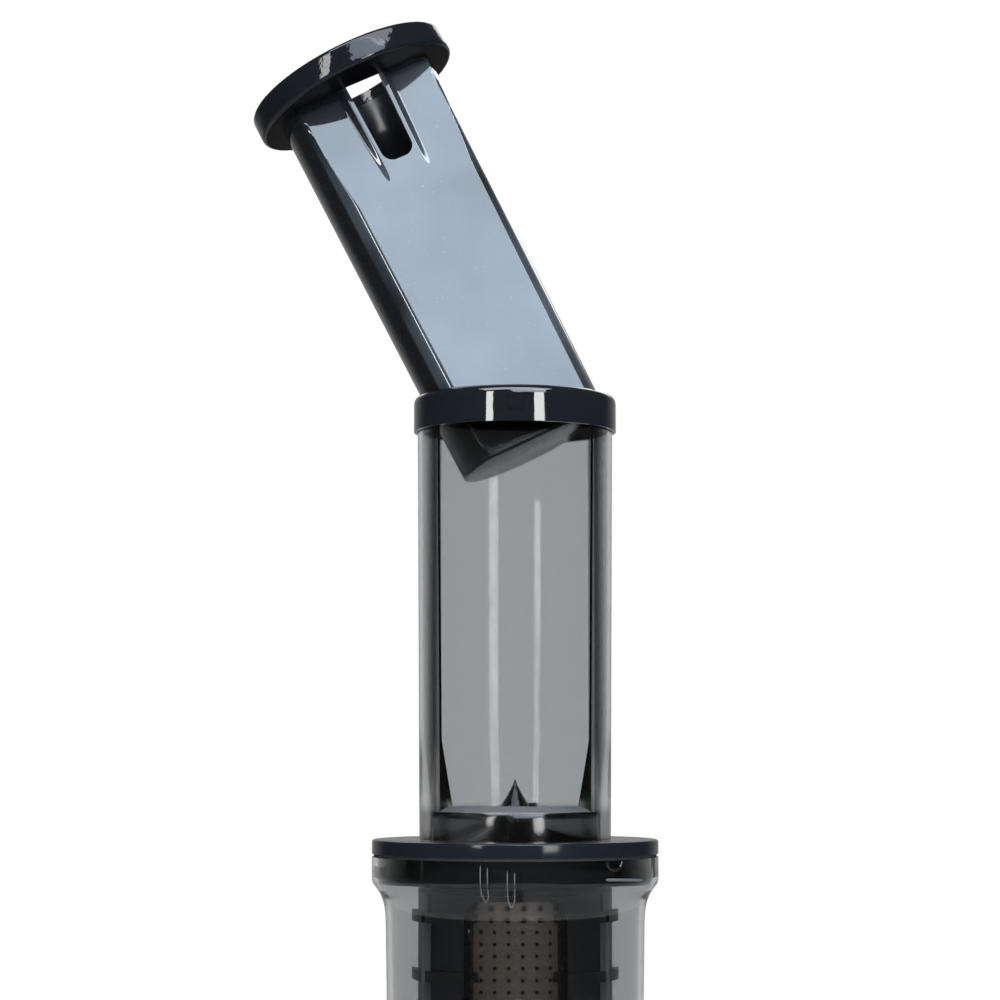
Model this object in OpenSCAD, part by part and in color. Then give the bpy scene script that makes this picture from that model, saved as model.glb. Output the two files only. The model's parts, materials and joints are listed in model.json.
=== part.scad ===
// Cold press juicer: a geared motor base, a smoky bowl with a spinning brush, a strainer and an
// auger, a twist-lock lid with a D-shaped feed chute, and a hollow pusher that leans in its mouth.
// Millimetres, Z up, origin on the bowl's axis at the table, the viewer on the -Y side.

/* [Base] */
// Height of the deck that the bowl stands on, above the table
deck_z = 156; // [150:1:175]
// Radius of the base at its foot
base_foot_r = 86; // [84:1:100]
// Radius of the base under the deck
base_top_r = 73; // [73:1:78]
// Wall of the base housing
base_wall = 3; // [2:0.5:4]
// Thickness of the deck plate
deck_t = 6; // [5:0.5:8]
// Thickness of the bottom plate
plate_t = 3; // [2:0.5:4]
// Height of the rubber feet
foot_h = 4; // [3:0.5:6]
// Radius of the rubber feet
foot_r = 9; // [7:0.5:11]

/* [Control knob] */
// Height of the knob's axis above the table
knob_z = 70; // [60:1:85]
// Radius of the knob
knob_r = 19; // [15:0.5:22]
// Depth of the knob
knob_l = 18; // [14:0.5:24]
// Depth of the round recess that the knob turns in
knob_recess = 4; // [2:0.5:5]

/* [Motor and gears] */
// Radius of the motor can
motor_r = 28; // [26:0.5:28]
// Length of the motor can
motor_l = 62; // [54:1:64]
// Tooth module of the reduction gears
gear_m = 1.3; // [1.2:0.05:1.35]
// Teeth of each pinion
pinion_teeth = 10; // [10:1:11]
// Teeth of each wheel
wheel_teeth = 40; // [36:1:42]
// Height of the gear box, floor and cover together
gearbox_h = 34; // [32:1:38]
// Wall of the gear box
gearbox_wall = 2.5; // [2:0.5:3]
// Radius of the drive shaft in its bearing
shaft_r = 7; // [6:0.25:7.5]
// Width of the hexagon on the shaft's top, across its flats
hex_af = 13; // [12:0.25:13.5]
// Height of the hexagon's tip above the deck
hex_h = 58; // [40:1:60]

/* [Bowl] */
// Outer radius of the bowl under its shoulder
bowl_r = 57.6; // [57:0.1:60]
// Outer radius of the bowl at its foot
bowl_foot_r = 56; // [55.5:0.1:57]
// Outer radius of the bowl's rim and of the lid
rim_r = 63.9; // [63:0.1:66]
// Wall of the bowl
bowl_wall = 2.4; // [2:0.1:2.8]
// Height of the bowl
bowl_h = 129.35; // [126:0.5:134]
// Height of the straight band under the rim
rim_h = 9.5; // [9:0.5:11]
// Height of the curved shoulder under that band
shoulder_h = 20; // [16:1:22]
// Height of the bowl's floor above its foot
bowl_floor_h = 24; // [22:0.5:28]
// Thickness of the bowl's floor
bowl_floor_t = 3; // [2.5:0.5:4]
// Reach of the juice spout from the bowl's axis
spout_reach = 100; // [90:1:110]
// Bore radius of the juice spout
spout_bore_r = 8; // [7:0.5:8.5]
// Reach of the pulp duct from the bowl's axis
pulp_reach = 104; // [90:1:112]
// Width of the pulp duct's bore
pulp_w = 33; // [28:1:36]

/* [Juicing set] */
// Outer radius of the strainer's steel wall
strainer_r = 38.6; // [38:0.1:39]
// Thickness of the strainer's steel wall
mesh_t = 1; // [0.8:0.1:1.2]
// Columns of holes round the strainer
hole_columns = 28; // [24:4:40]
// Rows of holes up the strainer
hole_rows = 8; // [6:1:12]
// Radius of the large holes in the strainer's top rows
hole_r = 1.35; // [0.8:0.05:1.5]
// Outer radius of the brush frame
brush_r = 43.2; // [43:0.1:44]
// Wall of the brush frame
brush_wall = 2; // [1.5:0.1:2]
// Reach of the frame's two ribs past its wall
brush_rib = 2.8; // [1.5:0.1:3]
// Outer radius of the auger's flights
flight_r = 36.2; // [35:0.1:36.4]
// Radius of the auger's core at its foot
core_r = 25; // [22:0.5:27]
// Height of the auger's tip above the rim of the lid
tip_rise = 27; // [20:0.5:32]
// Tooth module of the brush gears
brush_gear_m = 2; // [1.9:0.05:2]
// Teeth of the auger's gear
sun_teeth = 14; // [12:1:14]
// Teeth of the idler gear, an odd number
idler_teeth = 13; // [13:2:13]

/* [Lid and chute] */
// Thickness of the lid's flange
lid_t = 6.3; // [5:0.1:8]
// Gap between the lid's flange and the bowl's rim, which the seal fills
lid_gap = 1.35; // [1:0.05:2]
// Twist that locks the lid, in degrees
lid_twist = 30; // [20:1:35]
// Height of the chute and its collar above the lid
chute_h = 199.2; // [170:0.1:220]
// Outer radius of the chute at its foot
chute_foot_r = 42.75; // [42.5:0.05:44]
// Outer radius of the chute at its mouth
chute_top_r = 44.1; // [44:0.05:45]
// Distance of the chute's flat window from the axis
chute_flat = 27.3; // [26.5:0.1:30]
// Wall of the chute
chute_wall = 1.8; // [1.5:0.1:1.9]
// Height of the round drum at the chute's foot, under the window
drum_h = 15; // [12:0.5:18]
// Half width of that drum
drum_half_w = 36; // [35:0.5:38]
// Height of the collar round the mouth
collar_h = 16.5; // [12:0.1:20]
// Wall of the collar
collar_wall = 1.6; // [1.5:0.1:3]

/* [Pusher] */
// Lean of the pusher to the left, in degrees
push_lean = 26.6; // [26.4:0.1:27.5]
// Lean of the pusher away from the viewer, in degrees
push_back = 3; // [2:0.1:3]
// Turn of the pusher's flat face to the right, in degrees
push_turn = 10.5; // [8:0.5:11]
// Length of the pusher with its cap
push_l = 194.7; // [160:0.1:220]
// Radius of the pusher at its foot
push_foot_r = 35.8; // [34:0.1:35.8]
// Radius of the pusher under its cap
push_top_r = 37.8; // [36:0.1:38]
// Distance of the pusher's flat face from its axis
push_flat = 22.5; // [20:0.1:22.6]
// Wall of the hollow pusher
push_wall = 2.2; // [1.8:0.1:3]
// Radius of the pusher's cap
cap_r = 48.3; // [44:0.05:50]
// Thickness of the pusher's cap
cap_t = 12.1; // [10:0.1:14]
// Width of the tab that carries the grip window, at its foot
tab_w = 17; // [15:0.5:19]
// Width of the grip window at the cap
window_w = 16.5; // [14:0.5:17]
// Length of the grip window below the cap
window_l = 32; // [24:1:36]

/* [Hidden] */
$fn = 96;

// Overrun of every cut past the face that it opens
cut = 1;
// Clearance between turning or sliding faces of different bodies
run_gap = 0.3;
// Clearance of a pushed fit
fit_gap = 0.05;
// Steps of a small rounded edge
round_steps = 5;

// Heights up the base
plate_z = foot_h;
plate_top = plate_z + plate_t;
housing_top = deck_z - deck_t;
spigot_h = 8;
spigot_t = 2.5;
base_steps = 12;
deck_round = 3;
foot_ring_r = base_foot_r - base_wall - foot_r - 4;
foot_count = 4;
post_r = 4.5;
post_h = 22;
post_ring_r = base_foot_r - base_wall - post_r + 0.3;
post_angle = 20;
screw_r = 1.5;
screw_head_r = 3;
screw_head_h = 2;
screw_l = 14;

// Outer radius of the base at a height: an S-curve from the foot to the top
function base_r(z) =
    base_top_r + (base_foot_r - base_top_r) * (1 + cos(180 * (z - plate_z) / (housing_top - plate_z))) / 2;

// Vent slots at the back, and the inlet below them
vent_count = 9;
vent_w = 3;
vent_h = 26;
vent_pitch = 5;
vent_z = 58;
vent_plate_t = 1.5;
vent_span = 40;
vent_in_r = base_r(vent_z + vent_h + vent_pitch) - base_wall - vent_plate_t - fit_gap;
inlet_z = 28;
inlet_w = 30;
inlet_h = 22;
inlet_depth = 20;
inlet_wall = 2.5;
inlet_pin_r = 1.5;
inlet_pin_l = 12;
inlet_pin_pitch = 7;

// The knob's boss, recess and spindle, on the right side
boss_wall = 3;
recess_r = knob_r + 1;
recess_floor = base_r(knob_z + recess_r) - knob_recess;
knob_seat_gap = 0.5;
spindle_r = 3;
spindle_l = 14;
switch_w = 26;
switch_l = 16;
knob_grip_w = 6;
knob_grip_h = 6;
knob_skirt = 6;
pointer_w = 1.6;
pointer_depth = 0.8;

// Circuit board inside the housing's back
board_w = 60;
board_h = 40;
board_t = 1.6;
board_y = motor_r + 14;
chip_w = 12;
chip_t = 5;

// Gear box and motor heights, from the deck down
pillar_h = 28;
cover_t = 4;
gearbox_top = housing_top - pillar_h + cover_t;
gearbox_z = gearbox_top - gearbox_h;
gearbox_floor_t = 3;
motor_top = gearbox_z;
motor_z = motor_top - motor_l;
motor_wall = 2;
end_t = 3;
stator_t = 8;
stator_h = 38;
air_gap = 1;
rotor_slots = 12;
slot_r = 1.6;
motor_shaft_r = 3;
motor_shaft_drop = 13;
commutator_r = 10;
commutator_h = 8;
fan_r = 26;
fan_hub_r = 7;
fan_h = 8;
fan_blades = 9;
fan_blade_t = 1.4;
fan_plate_t = 1.5;
bearing_r = 8;
bearing_h = 5;
motor_screw_y = 20;
motor_screw_l = 7;

// Reduction gears: two equal stages, so that the motor lies on the shaft's own axis
wheel_gap = gear_m * (pinion_teeth + wheel_teeth) / 2;
wheel_t = 8;
pinion_t = 10;
stage_gap = 1.5;
first_z = gearbox_z + gearbox_floor_t + 3;
second_z = first_z + wheel_t + 2 * stage_gap;
tip_share = 0.8;
root_share = 1.05;
backlash_share = 0.06;
press_angle = 25;
gearbox_r = gear_m * (wheel_teeth / 2 + tip_share) + 2.4;
pillar_r = 4.4;
pillar_angle = 50;
pillar_ring = gearbox_r + gearbox_wall;
pin_r = 3;
pin_clear = 0.05;
shaft_bearing_r = 15;
shaft_bearing_h = 8;
bearing_boss_r = shaft_bearing_r + 2.5;
wheel_web_r = gear_m * wheel_teeth / 2 - 4;
wheel_hub_r = 11;
wheel_web_cut = 2;
shaft_z = second_z;
hex_z = deck_z - deck_t + 2;
hex_top = deck_z + hex_h;
hex_tip = 2;
hex_clear = 0.3;

// Deck boss round the shaft, and its seal
deck_boss_r = 16;
deck_boss_h = 2.5;
deck_hole_r = 12;
seal_t = 4;

// Heights up the bowl
bowl_z = deck_z;
floor_z = bowl_z + bowl_floor_h;
floor_top = floor_z + bowl_floor_t;
rim_z = bowl_z + bowl_h;
shoulder_top = rim_z - rim_h;
shoulder_z = shoulder_top - shoulder_h;
// Height and radius up the shoulder, as shares of its height and of its widening
shoulder_shares = [[0, 0], [0.2, 0.03], [0.35, 0.08], [0.45, 0.15], [0.57, 0.27], [0.68, 0.43],
    [0.79, 0.68], [0.9, 0.93], [1, 1]];
hub_bore_r = 9;
hub_r = 14;
hub_h = 9;

// Juice spout, its ears and its hinged cap
spout_wall = 2.5;
spout_r = spout_bore_r + spout_wall;
spout_z = floor_top + spout_bore_r + 1;
ear_t = 3;
ear_r = 4.5;
ear_half = 6;
hinge_rise = 6;
hinge_r = 1.5;
cap_hinge_z = spout_z + spout_r + hinge_rise;
cap_hinge_y = -spout_reach + ear_r;
lever_t = 3;
gasket_t = 1.6;
gasket_sunk = 1.2;
lever_gap = 0.5;
lever_w = 2 * ear_half - 2 * run_gap;
cap_back_y = -spout_reach - lever_gap;

// Pulp duct under the floor, and its flap
duct_wall = 2.5;
duct_z = bowl_z + 3;
duct_top = floor_z - 2;
duct_in_x = 16.5;
duct_ramp_x = 50;
duct_ramp_z = floor_z - 6;
channel_x = 26;
channel_half = 9;
channel_r = 7.7;
channel_wall = 1.8;
flap_t = 2.6;
flap_gap = 0.5;
flap_hinge_r = 3.4;
flap_hinge_z = duct_top + duct_wall + flap_hinge_r - 0.5;
flap_hinge_x = -pulp_reach + flap_hinge_r;
flap_ear_t = 3;

// Gears under the strainer: the auger's gear, the idler and the brush's inner ring
ring_teeth = sun_teeth + 2 * idler_teeth;
idler_x = brush_gear_m * (sun_teeth + idler_teeth) / 2;
brush_gear_z = floor_top + 1;
brush_gear_t = 8;
post_top = brush_gear_z + brush_gear_t + 1.5;
strainer_post_r = 4.5;
strainer_post_ring = 27;
strainer_post_angles = [60, 125, 235, 300];
idler_pin_r = 3;

// Strainer: floor, rings and ribs of plastic, wall of steel
strainer_floor_t = 2.5;
strainer_floor_z = post_top;
chamber_z = strainer_floor_z + strainer_floor_t;
strainer_top = rim_z - 12.35;
strainer_ring_h = 5;
strainer_hole_r = brush_gear_m * (sun_teeth / 2 + tip_share) + 0.9;
strainer_rib_t = 0.8;
strainer_ribs = 6;
strainer_rib_w = 3;
mesh_z = chamber_z + strainer_ring_h;
mesh_top = strainer_top - strainer_ring_h;
mesh_in_r = strainer_r - mesh_t;
small_hole_share = 0.62;
large_rows = 3;
mesh_margin = 4;

// Brush: a cage with three windows, two ribs outside and three wiper blades
brush_in_r = brush_r - brush_wall;
brush_z = floor_top + run_gap;
brush_top = strainer_top - strainer_ring_h - 1.5;
brush_windows = 3;
window_angle = 50;
brush_foot_h = 13;
brush_head_h = 3;
arch_r = 7;
brush_rib_t = 4.5;
brush_rib_drops = [4.5, 30, 55];
ring_tip_r = brush_gear_m * (ring_teeth / 2 - tip_share);
ring_t = brush_gear_z + brush_gear_t - brush_z;
blade_w = 3;
blade_slot = blade_w + 2 * fit_gap;
blade_head_w = 7;
blade_head_t = 1.2;
blade_in_r = strainer_r + run_gap + fit_gap;
blade_out_r = brush_r + brush_rib;
blade_drop = 9;

// Auger: stem with its gear, a disc, a tapering core with two flights and a pointed top
auger_z = brush_gear_z;
auger_disc_t = 2.5;
sun_root_r = brush_gear_m * (sun_teeth / 2 - root_share);
throat_rise = 7;
auger_disc_z = chamber_z + run_gap;
stem_r = strainer_hole_r - 3.5;
flight_t = 4.5;
flight_turn = 620;
flight_count = 2;
flight_slices = 62;
flight_facets = 16;
flight_top = rim_z + lid_gap + lid_t + throat_rise;
core_top_r = 12;
tip_z = rim_z + lid_gap + lid_t + tip_rise;
socket_top = hex_top + 2;
nose_steps = 10;
nose_power = 1.26;
hook_h = 9;
hook_turn = 60;
hook_scale = 0.4;
hook_slices = 8;
hook_r = 30;
washer_t = 1;
washer_r = 13;

// Lid
lid_z = rim_z + lid_gap;
lid_top = lid_z + lid_t;
lid_round = 1.2;
skirt_h = 12.3;
skirt_wall = 2.4;
skirt_chamfer = 1;
skirt_r = rim_r - bowl_wall - 0.4;
lid_bore_r = 40.3;
guide_wall = 2.5;
lug_w = 7.6;
lug_h = 4;
lug_out = 1.3;
lug_drop = 5.5;
lug_angle = -44;
lug_count = 3;
lug_play = 0.35;
lid_seal_w = 1.7;

// Chute
chute_z = lid_top;
mouth_z = chute_z + chute_h;
lip_h = 3;
tube_top = mouth_z - lip_h;
flat_in = chute_flat - chute_wall + 0.2;
bore_top_r = chute_top_r - chute_wall;
throat_r = 37.6;
spigot_r = lid_bore_r - fit_gap;
drum_r = 44;
drum_round = 6;
drum_top = chute_z + drum_h;
drum_roof = 4;
funnel_h = 44;
mouth_chamfer = 2;

// Collar and its plug
collar_r = chute_top_r + collar_wall;
collar_z = mouth_z - collar_h;
collar_round = 4;
plug_r = 3.8;
plug_drop = 7.8;
plug_proud = 0.35;
plug_head_t = 1;

// Pusher: its foot's place in the mouth, and the window under its cap
push_foot_x = 9.3;
push_foot_y = 1.2;
push_sink = 22.6;
push_edge_r = 4;
push_floor = 2.5;
push_slice = 0.01;
push_facets = 80;
cap_z = push_l - cap_t;
cap_round = 2;
cap_socket = 7;
scoop_l = 42;
scoop_depth = 4.6;
scoop_steps = 12;
tab_spread = 4.5;
window_foot_w = 13.5;
window_round = 5.5;

// Points of a quarter arc about a centre, from a starting angle
function corner(cx, cy, r, from) =
    [for (i = [0:round_steps]) [cx + r * cos(from + 90 * i / round_steps), cy + r * sin(from + 90 * i / round_steps)]];

// A ring about Z between two radii
module ring(inner, outer, h) {
    difference() {
        cylinder(h = h, r = outer);
        translate([0, 0, -cut]) cylinder(h = h + 2 * cut, r = inner);
    }
}

// A block that is centred on X and Y
module block(w, d, h) {
    translate([-w / 2, -d / 2, 0]) cube([w, d, h]);
}

// Copies of a child round Z
module around(count, start = 0) {
    for (i = [0:count - 1]) rotate([0, 0, start + i * 360 / count]) children();
}

// A long hole or post along Y with round ends
module slot_bar(half, r, h) {
    for (s = [-1, 1]) translate([0, s * half, 0]) cylinder(h = h, r = r);
    block(2 * r, 2 * half, h);
}

// A screw that points down from its head
module screw(l) {
    translate([0, 0, -l]) cylinder(h = l, r = screw_r);
    cylinder(h = screw_head_h, r = screw_head_r);
}

// Involute gears: the half angle of a tooth at a radius, and the outline of one tooth
function inv(a) = tan(a) * 180 / PI - a;
function tooth_half(r, pitch, teeth, slack) =
    let (base = pitch * cos(press_angle), at = r > base ? acos(base / r) : 0)
    (90 - slack * 180) / teeth + inv(press_angle) - inv(at);
function tooth_points(pitch, teeth, tip, root, slack) =
    let (base = max(pitch * cos(press_angle), root), mid = (base + tip) / 2,
         radii = [root, base, mid, tip], down = [tip, mid, base, root])
    concat([for (r = radii) let (a = -tooth_half(r, pitch, teeth, slack)) [r * cos(a), r * sin(a)]],
           [for (r = down) let (a = tooth_half(r, pitch, teeth, slack)) [r * cos(a), r * sin(a)]]);
function turned(points, a) = [for (p = points) [p.x * cos(a) - p.y * sin(a), p.x * sin(a) + p.y * cos(a)]];
function gear_outline(m, teeth, tip, root, slack) =
    let (pitch = m * teeth / 2, tooth = tooth_points(pitch, teeth, pitch + tip * m, pitch - root * m, slack))
    [for (i = [0:teeth - 1]) each turned(tooth, i * 360 / teeth)];

// A spur gear with a tooth on +X
module gear(m, teeth, t) {
    linear_extrude(height = t) polygon(gear_outline(m, teeth, tip_share, root_share, backlash_share));
}

// The base: a curved shell with a knob boss, posts for the screws, vents and an inlet
module base_housing() color("#1b1d20") {
    rise = housing_top - plate_z;
    outer = [for (i = [0:base_steps]) let (z = plate_z + rise * i / base_steps) [base_r(z), z]];
    inner = [for (i = [base_steps:-1:0]) let (z = plate_z + rise * i / base_steps) [base_r(z) - base_wall, z]];
    difference() {
        union() {
            rotate_extrude() polygon(concat(outer, inner));
            intersection() {
                translate([recess_floor - boss_wall, 0, knob_z]) rotate([0, 90, 0])
                    cylinder(h = base_foot_r, r = recess_r + boss_wall);
                base_inner();
            }
            around(foot_count, post_angle) translate([post_ring_r, 0, plate_top])
                intersection() {
                    cylinder(h = post_h, r = post_r);
                    translate([-post_ring_r, 0, -plate_top]) base_inner();
                }
        }
        translate([recess_floor, 0, knob_z]) rotate([0, 90, 0]) cylinder(h = base_foot_r, r = recess_r);
        translate([0, 0, knob_z]) rotate([0, 90, 0]) cylinder(h = base_foot_r, r = spindle_r + run_gap);
        around(foot_count, post_angle) translate([post_ring_r, 0, plate_z]) cylinder(h = screw_l + cut, r = screw_r + fit_gap);
        for (i = [0:vent_count - 1])
            translate([(i - (vent_count - 1) / 2) * vent_pitch, base_top_r, vent_z])
                block(vent_w, base_top_r, vent_h);
        translate([0, base_top_r, inlet_z - inlet_h / 2])
            block(inlet_w + 2 * fit_gap, base_top_r, inlet_h + 2 * fit_gap);
    }
}

// The space that the housing's wall encloses, with the wall's own half
module base_inner() {
    rise = housing_top - plate_z;
    rotate_extrude() polygon(concat([[0, plate_z]],
        [for (i = [0:base_steps]) let (z = plate_z + rise * i / base_steps) [base_r(z) - base_wall / 2, z]],
        [[0, housing_top]]));
}

// The deck: a round-edged plate with a spigot inside the housing and a boss round the shaft
module top_deck() color("#1b1d20") difference() {
    spigot = base_top_r - base_wall - fit_gap;
    rotate_extrude() polygon(concat(
        [[deck_hole_r, housing_top], [spigot - spigot_t, housing_top], [spigot - spigot_t, housing_top - spigot_h],
         [spigot, housing_top - spigot_h], [spigot, housing_top], [base_top_r, housing_top]],
        corner(base_top_r - deck_round, deck_z - deck_round, deck_round, 0),
        [[deck_boss_r, deck_z], [deck_boss_r, deck_z + deck_boss_h], [deck_hole_r, deck_z + deck_boss_h]]));
    gearbox_spots() translate([0, 0, housing_top - cut]) cylinder(h = deck_t + 2 * cut, r = screw_r + fit_gap);
    gearbox_spots() translate([0, 0, deck_z - screw_head_h]) cylinder(h = deck_t, r = screw_head_r + fit_gap);
}

// The bottom plate, with its screw holes and a ring of air slots
module base_plate() color("dimgray") difference() {
    translate([0, 0, plate_z]) cylinder(h = plate_t, r = base_foot_r - base_wall - 2 * run_gap);
    around(foot_count, post_angle) translate([post_ring_r, 0, plate_z - cut]) cylinder(h = plate_t + 2 * cut, r = screw_r + fit_gap);
    around(foot_count, post_angle) translate([post_ring_r, 0, plate_z - cut])
        cylinder(h = screw_head_h + cut, r = screw_head_r + fit_gap);
    for (i = [0:vent_count - 1])
        translate([(i - (vent_count - 1) / 2) * vent_pitch, 0, plate_z - cut])
            block(vent_w, vent_h, plate_t + 2 * cut);
}

// Four rubber feet
module rubber_feet() color("#202020") around(foot_count, 180 / foot_count)
    translate([foot_ring_r, 0, 0]) rotate_extrude() polygon(concat(
        [[0, 0]], [for (p = corner(foot_r - 1, 1, 1, 270)) p], [[foot_r, foot_h], [0, foot_h]]));

// Screws from below that hold the bottom plate to the housing's posts
module base_screws() color("silver") around(foot_count, post_angle)
    translate([post_ring_r, 0, plate_z + screw_head_h]) rotate([180, 0, 0]) screw(screw_l - screw_head_h);

// Screws from above that hold the deck to the gear box
module deck_screws() color("silver") gearbox_spots() translate([0, 0, deck_z - screw_head_h]) screw(screw_l);

// A slotted panel behind the vents
module vent_grille() color("#303030") difference() {
    rotate([0, 0, 90 - vent_span / 2]) translate([0, 0, vent_z - vent_pitch])
        rotate_extrude(angle = vent_span) translate([vent_in_r, 0]) square([vent_plate_t, vent_h + 2 * vent_pitch]);
    for (i = [0:vent_count - 2])
        translate([(i - (vent_count - 2) / 2) * vent_pitch, vent_in_r, vent_z])
            block(vent_w, base_top_r, vent_h);
}

// The mains inlet: a socket with three blades
module power_inlet() color("#181818") {
    back = base_r(inlet_z) - inlet_depth;
    difference() {
        translate([-inlet_w / 2, back, inlet_z - inlet_h / 2]) cube([inlet_w, inlet_depth, inlet_h]);
        translate([-inlet_w / 2 + inlet_wall, back + inlet_wall, inlet_z - inlet_h / 2 + inlet_wall])
            cube([inlet_w - 2 * inlet_wall, inlet_depth, inlet_h - 2 * inlet_wall]);
    }
    for (x = [-1, 0, 1]) translate([x * inlet_pin_pitch, back, inlet_z]) rotate([-90, 0, 0])
        cylinder(h = inlet_pin_l, r = inlet_pin_r);
}

// The switch behind the knob
module rotary_switch() color("#3a3a3a") difference() {
    translate([recess_floor - boss_wall - switch_l, 0, knob_z - switch_w / 2])
        translate([switch_l / 2, 0, 0]) block(switch_l, switch_w, switch_w);
    translate([0, 0, knob_z]) rotate([0, 90, 0]) cylinder(h = base_foot_r, r = spindle_r + pin_clear);
}

// The circuit board with its parts, beside the motor
module circuit_board() color("#1f5a35") {
    translate([0, board_y, plate_top]) block(board_w, board_t, board_h);
    for (x = [-1, 1]) translate([x * chip_w, board_y - board_t / 2 - chip_t / 2, plate_top + board_h / 2])
        block(chip_w, chip_t, chip_w);
}

// The control knob: a skirt, a round body and a finger bar, on its spindle
module control_knob() color("silver") translate([recess_floor + knob_seat_gap, 0, knob_z]) rotate([0, 90, 0]) {
    difference() {
        union() {
            cylinder(h = knob_skirt, r = knob_r);
            translate([0, 0, knob_skirt]) cylinder(h = knob_l - knob_skirt - knob_grip_h, r1 = knob_r, r2 = knob_r - 2);
            intersection() {
                cylinder(h = knob_l, r = knob_r - 2);
                translate([0, 0, knob_l - knob_grip_h - cut]) block(2 * knob_r, knob_grip_w, knob_grip_h + cut);
            }
        }
        translate([-knob_r, 0, knob_l - pointer_depth]) block(knob_r, pointer_w, knob_grip_h);
    }
    translate([0, 0, -spindle_l]) cylinder(h = spindle_l + cut, r = spindle_r);
}

// The motor: its can, stator, rotor, pinion, fan and bearings
module motor_can() color("#8c9096") difference() {
    translate([0, 0, motor_z]) cylinder(h = motor_l, r = motor_r);
    translate([0, 0, motor_z + end_t]) cylinder(h = motor_l - 2 * end_t, r = motor_r - motor_wall);
    translate([0, 0, motor_z - cut]) cylinder(h = motor_l + 2 * cut, r = bearing_r + fit_gap);
    around(fan_blades) translate([motor_r * 0.6, 0, motor_z - cut]) cylinder(h = end_t + 2 * cut, r = end_t);
    motor_spots() translate([0, 0, motor_top - end_t - cut]) cylinder(h = end_t + 2 * cut, r = screw_r + fit_gap);
}

module stator_core() color("#b87333") translate([0, 0, motor_z + (motor_l - stator_h) / 2])
    ring(motor_r - motor_wall - stator_t, motor_r - motor_wall - fit_gap, stator_h);

module rotor_core() color("#9a9da2") {
    core = motor_r - motor_wall - stator_t - air_gap;
    translate([0, 0, motor_z + (motor_l - stator_h) / 2]) difference() {
        cylinder(h = stator_h, r = core);
        around(rotor_slots) translate([core, 0, -cut]) cylinder(h = stator_h + 2 * cut, r = slot_r);
    }
    translate([0, 0, motor_z + (motor_l + stator_h) / 2]) cylinder(h = commutator_h / 2, r = commutator_r);
    translate([0, 0, motor_z - motor_shaft_drop])
        cylinder(h = first_z + pinion_t - motor_z + motor_shaft_drop - stage_gap, r = motor_shaft_r);
}

module rotor_pinion() color("#c8b06a") translate([0, 0, first_z - stage_gap / 2]) difference() {
    rotate([0, 0, 180]) gear(gear_m, pinion_teeth, pinion_t);
    translate([0, 0, -cut]) cylinder(h = pinion_t + 2 * cut, r = motor_shaft_r + fit_gap);
}

module cooling_fan() color("#2b2b2b") translate([0, 0, motor_z - motor_shaft_drop]) difference() {
    union() {
        cylinder(h = fan_plate_t, r = fan_r);
        cylinder(h = fan_h, r = fan_hub_r);
        around(fan_blades) translate([fan_hub_r - cut, -fan_blade_t / 2, 0])
            cube([fan_r - fan_hub_r, fan_blade_t, fan_h]);
    }
    translate([0, 0, -cut]) cylinder(h = fan_h + 2 * cut, r = motor_shaft_r + fit_gap);
}

module motor_bearings() color("silver") for (z = [motor_z, motor_top - bearing_h])
    translate([0, 0, z]) ring(motor_shaft_r + pin_clear, bearing_r, bearing_h);

// Places of the motor's screws, and of the gear box's pillars
module motor_spots() for (s = [-1, 1]) translate([0, s * motor_screw_y, 0]) children();
module gearbox_spots() for (s = [-1, 1]) {
    translate([pillar_ring * cos(pillar_angle), s * pillar_ring * sin(pillar_angle), 0]) children();
    translate([-wheel_gap - pillar_ring * cos(pillar_angle), s * pillar_ring * sin(pillar_angle), 0]) children();
}

module motor_screws() color("silver") motor_spots() translate([0, 0, gearbox_z + gearbox_floor_t])
    screw(motor_screw_l - cut);

// The gear box's outline: round ends about the two shafts
module gearbox_form(r, h) {
    cylinder(h = h, r = r);
    translate([-wheel_gap, 0, 0]) cylinder(h = h, r = r);
    translate([-wheel_gap / 2, 0, 0]) block(wheel_gap, 2 * r, h);
}

module gearbox_case() color("#b9bcc0") difference() {
    union() {
        translate([0, 0, gearbox_z]) gearbox_form(gearbox_r + gearbox_wall, gearbox_h - cover_t);
        gearbox_spots() translate([0, 0, gearbox_z]) cylinder(h = gearbox_h - cover_t, r = pillar_r);
    }
    translate([0, 0, gearbox_z + gearbox_floor_t]) gearbox_form(gearbox_r, gearbox_h);
    translate([0, 0, gearbox_z - cut]) cylinder(h = gearbox_h, r = bearing_r);
    translate([-wheel_gap, 0, gearbox_z - cut]) cylinder(h = gearbox_h, r = pin_r + fit_gap);
    gearbox_spots() translate([0, 0, gearbox_z - cut]) cylinder(h = gearbox_h, r = screw_r + fit_gap);
    motor_spots() translate([0, 0, gearbox_z - cut]) cylinder(h = gearbox_h, r = screw_r + fit_gap);
}

module gearbox_cover() color("#b9bcc0") difference() {
    union() {
        translate([0, 0, gearbox_top - cover_t]) gearbox_form(gearbox_r + gearbox_wall, cover_t);
        gearbox_spots() translate([0, 0, gearbox_top - cover_t]) cylinder(h = pillar_h, r = pillar_r);
        translate([0, 0, gearbox_top - cover_t]) cylinder(h = cover_t + shaft_bearing_h, r = bearing_boss_r);
    }
    translate([0, 0, gearbox_top]) cylinder(h = gearbox_h, r = shaft_bearing_r + fit_gap);
    translate([0, 0, gearbox_top - cover_t - cut]) cylinder(h = gearbox_h, r = shaft_r + 2 * run_gap);
    translate([-wheel_gap, 0, gearbox_top - cover_t - cut]) cylinder(h = gearbox_h, r = pin_r + fit_gap);
    gearbox_spots() translate([0, 0, gearbox_top - cover_t - cut])
        cylinder(h = pillar_h + 2 * cut, r = screw_r + fit_gap);
}

module gearbox_screws() color("silver") gearbox_spots() translate([0, 0, gearbox_z]) rotate([180, 0, 0])
    screw(gearbox_h + cover_t);

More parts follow.
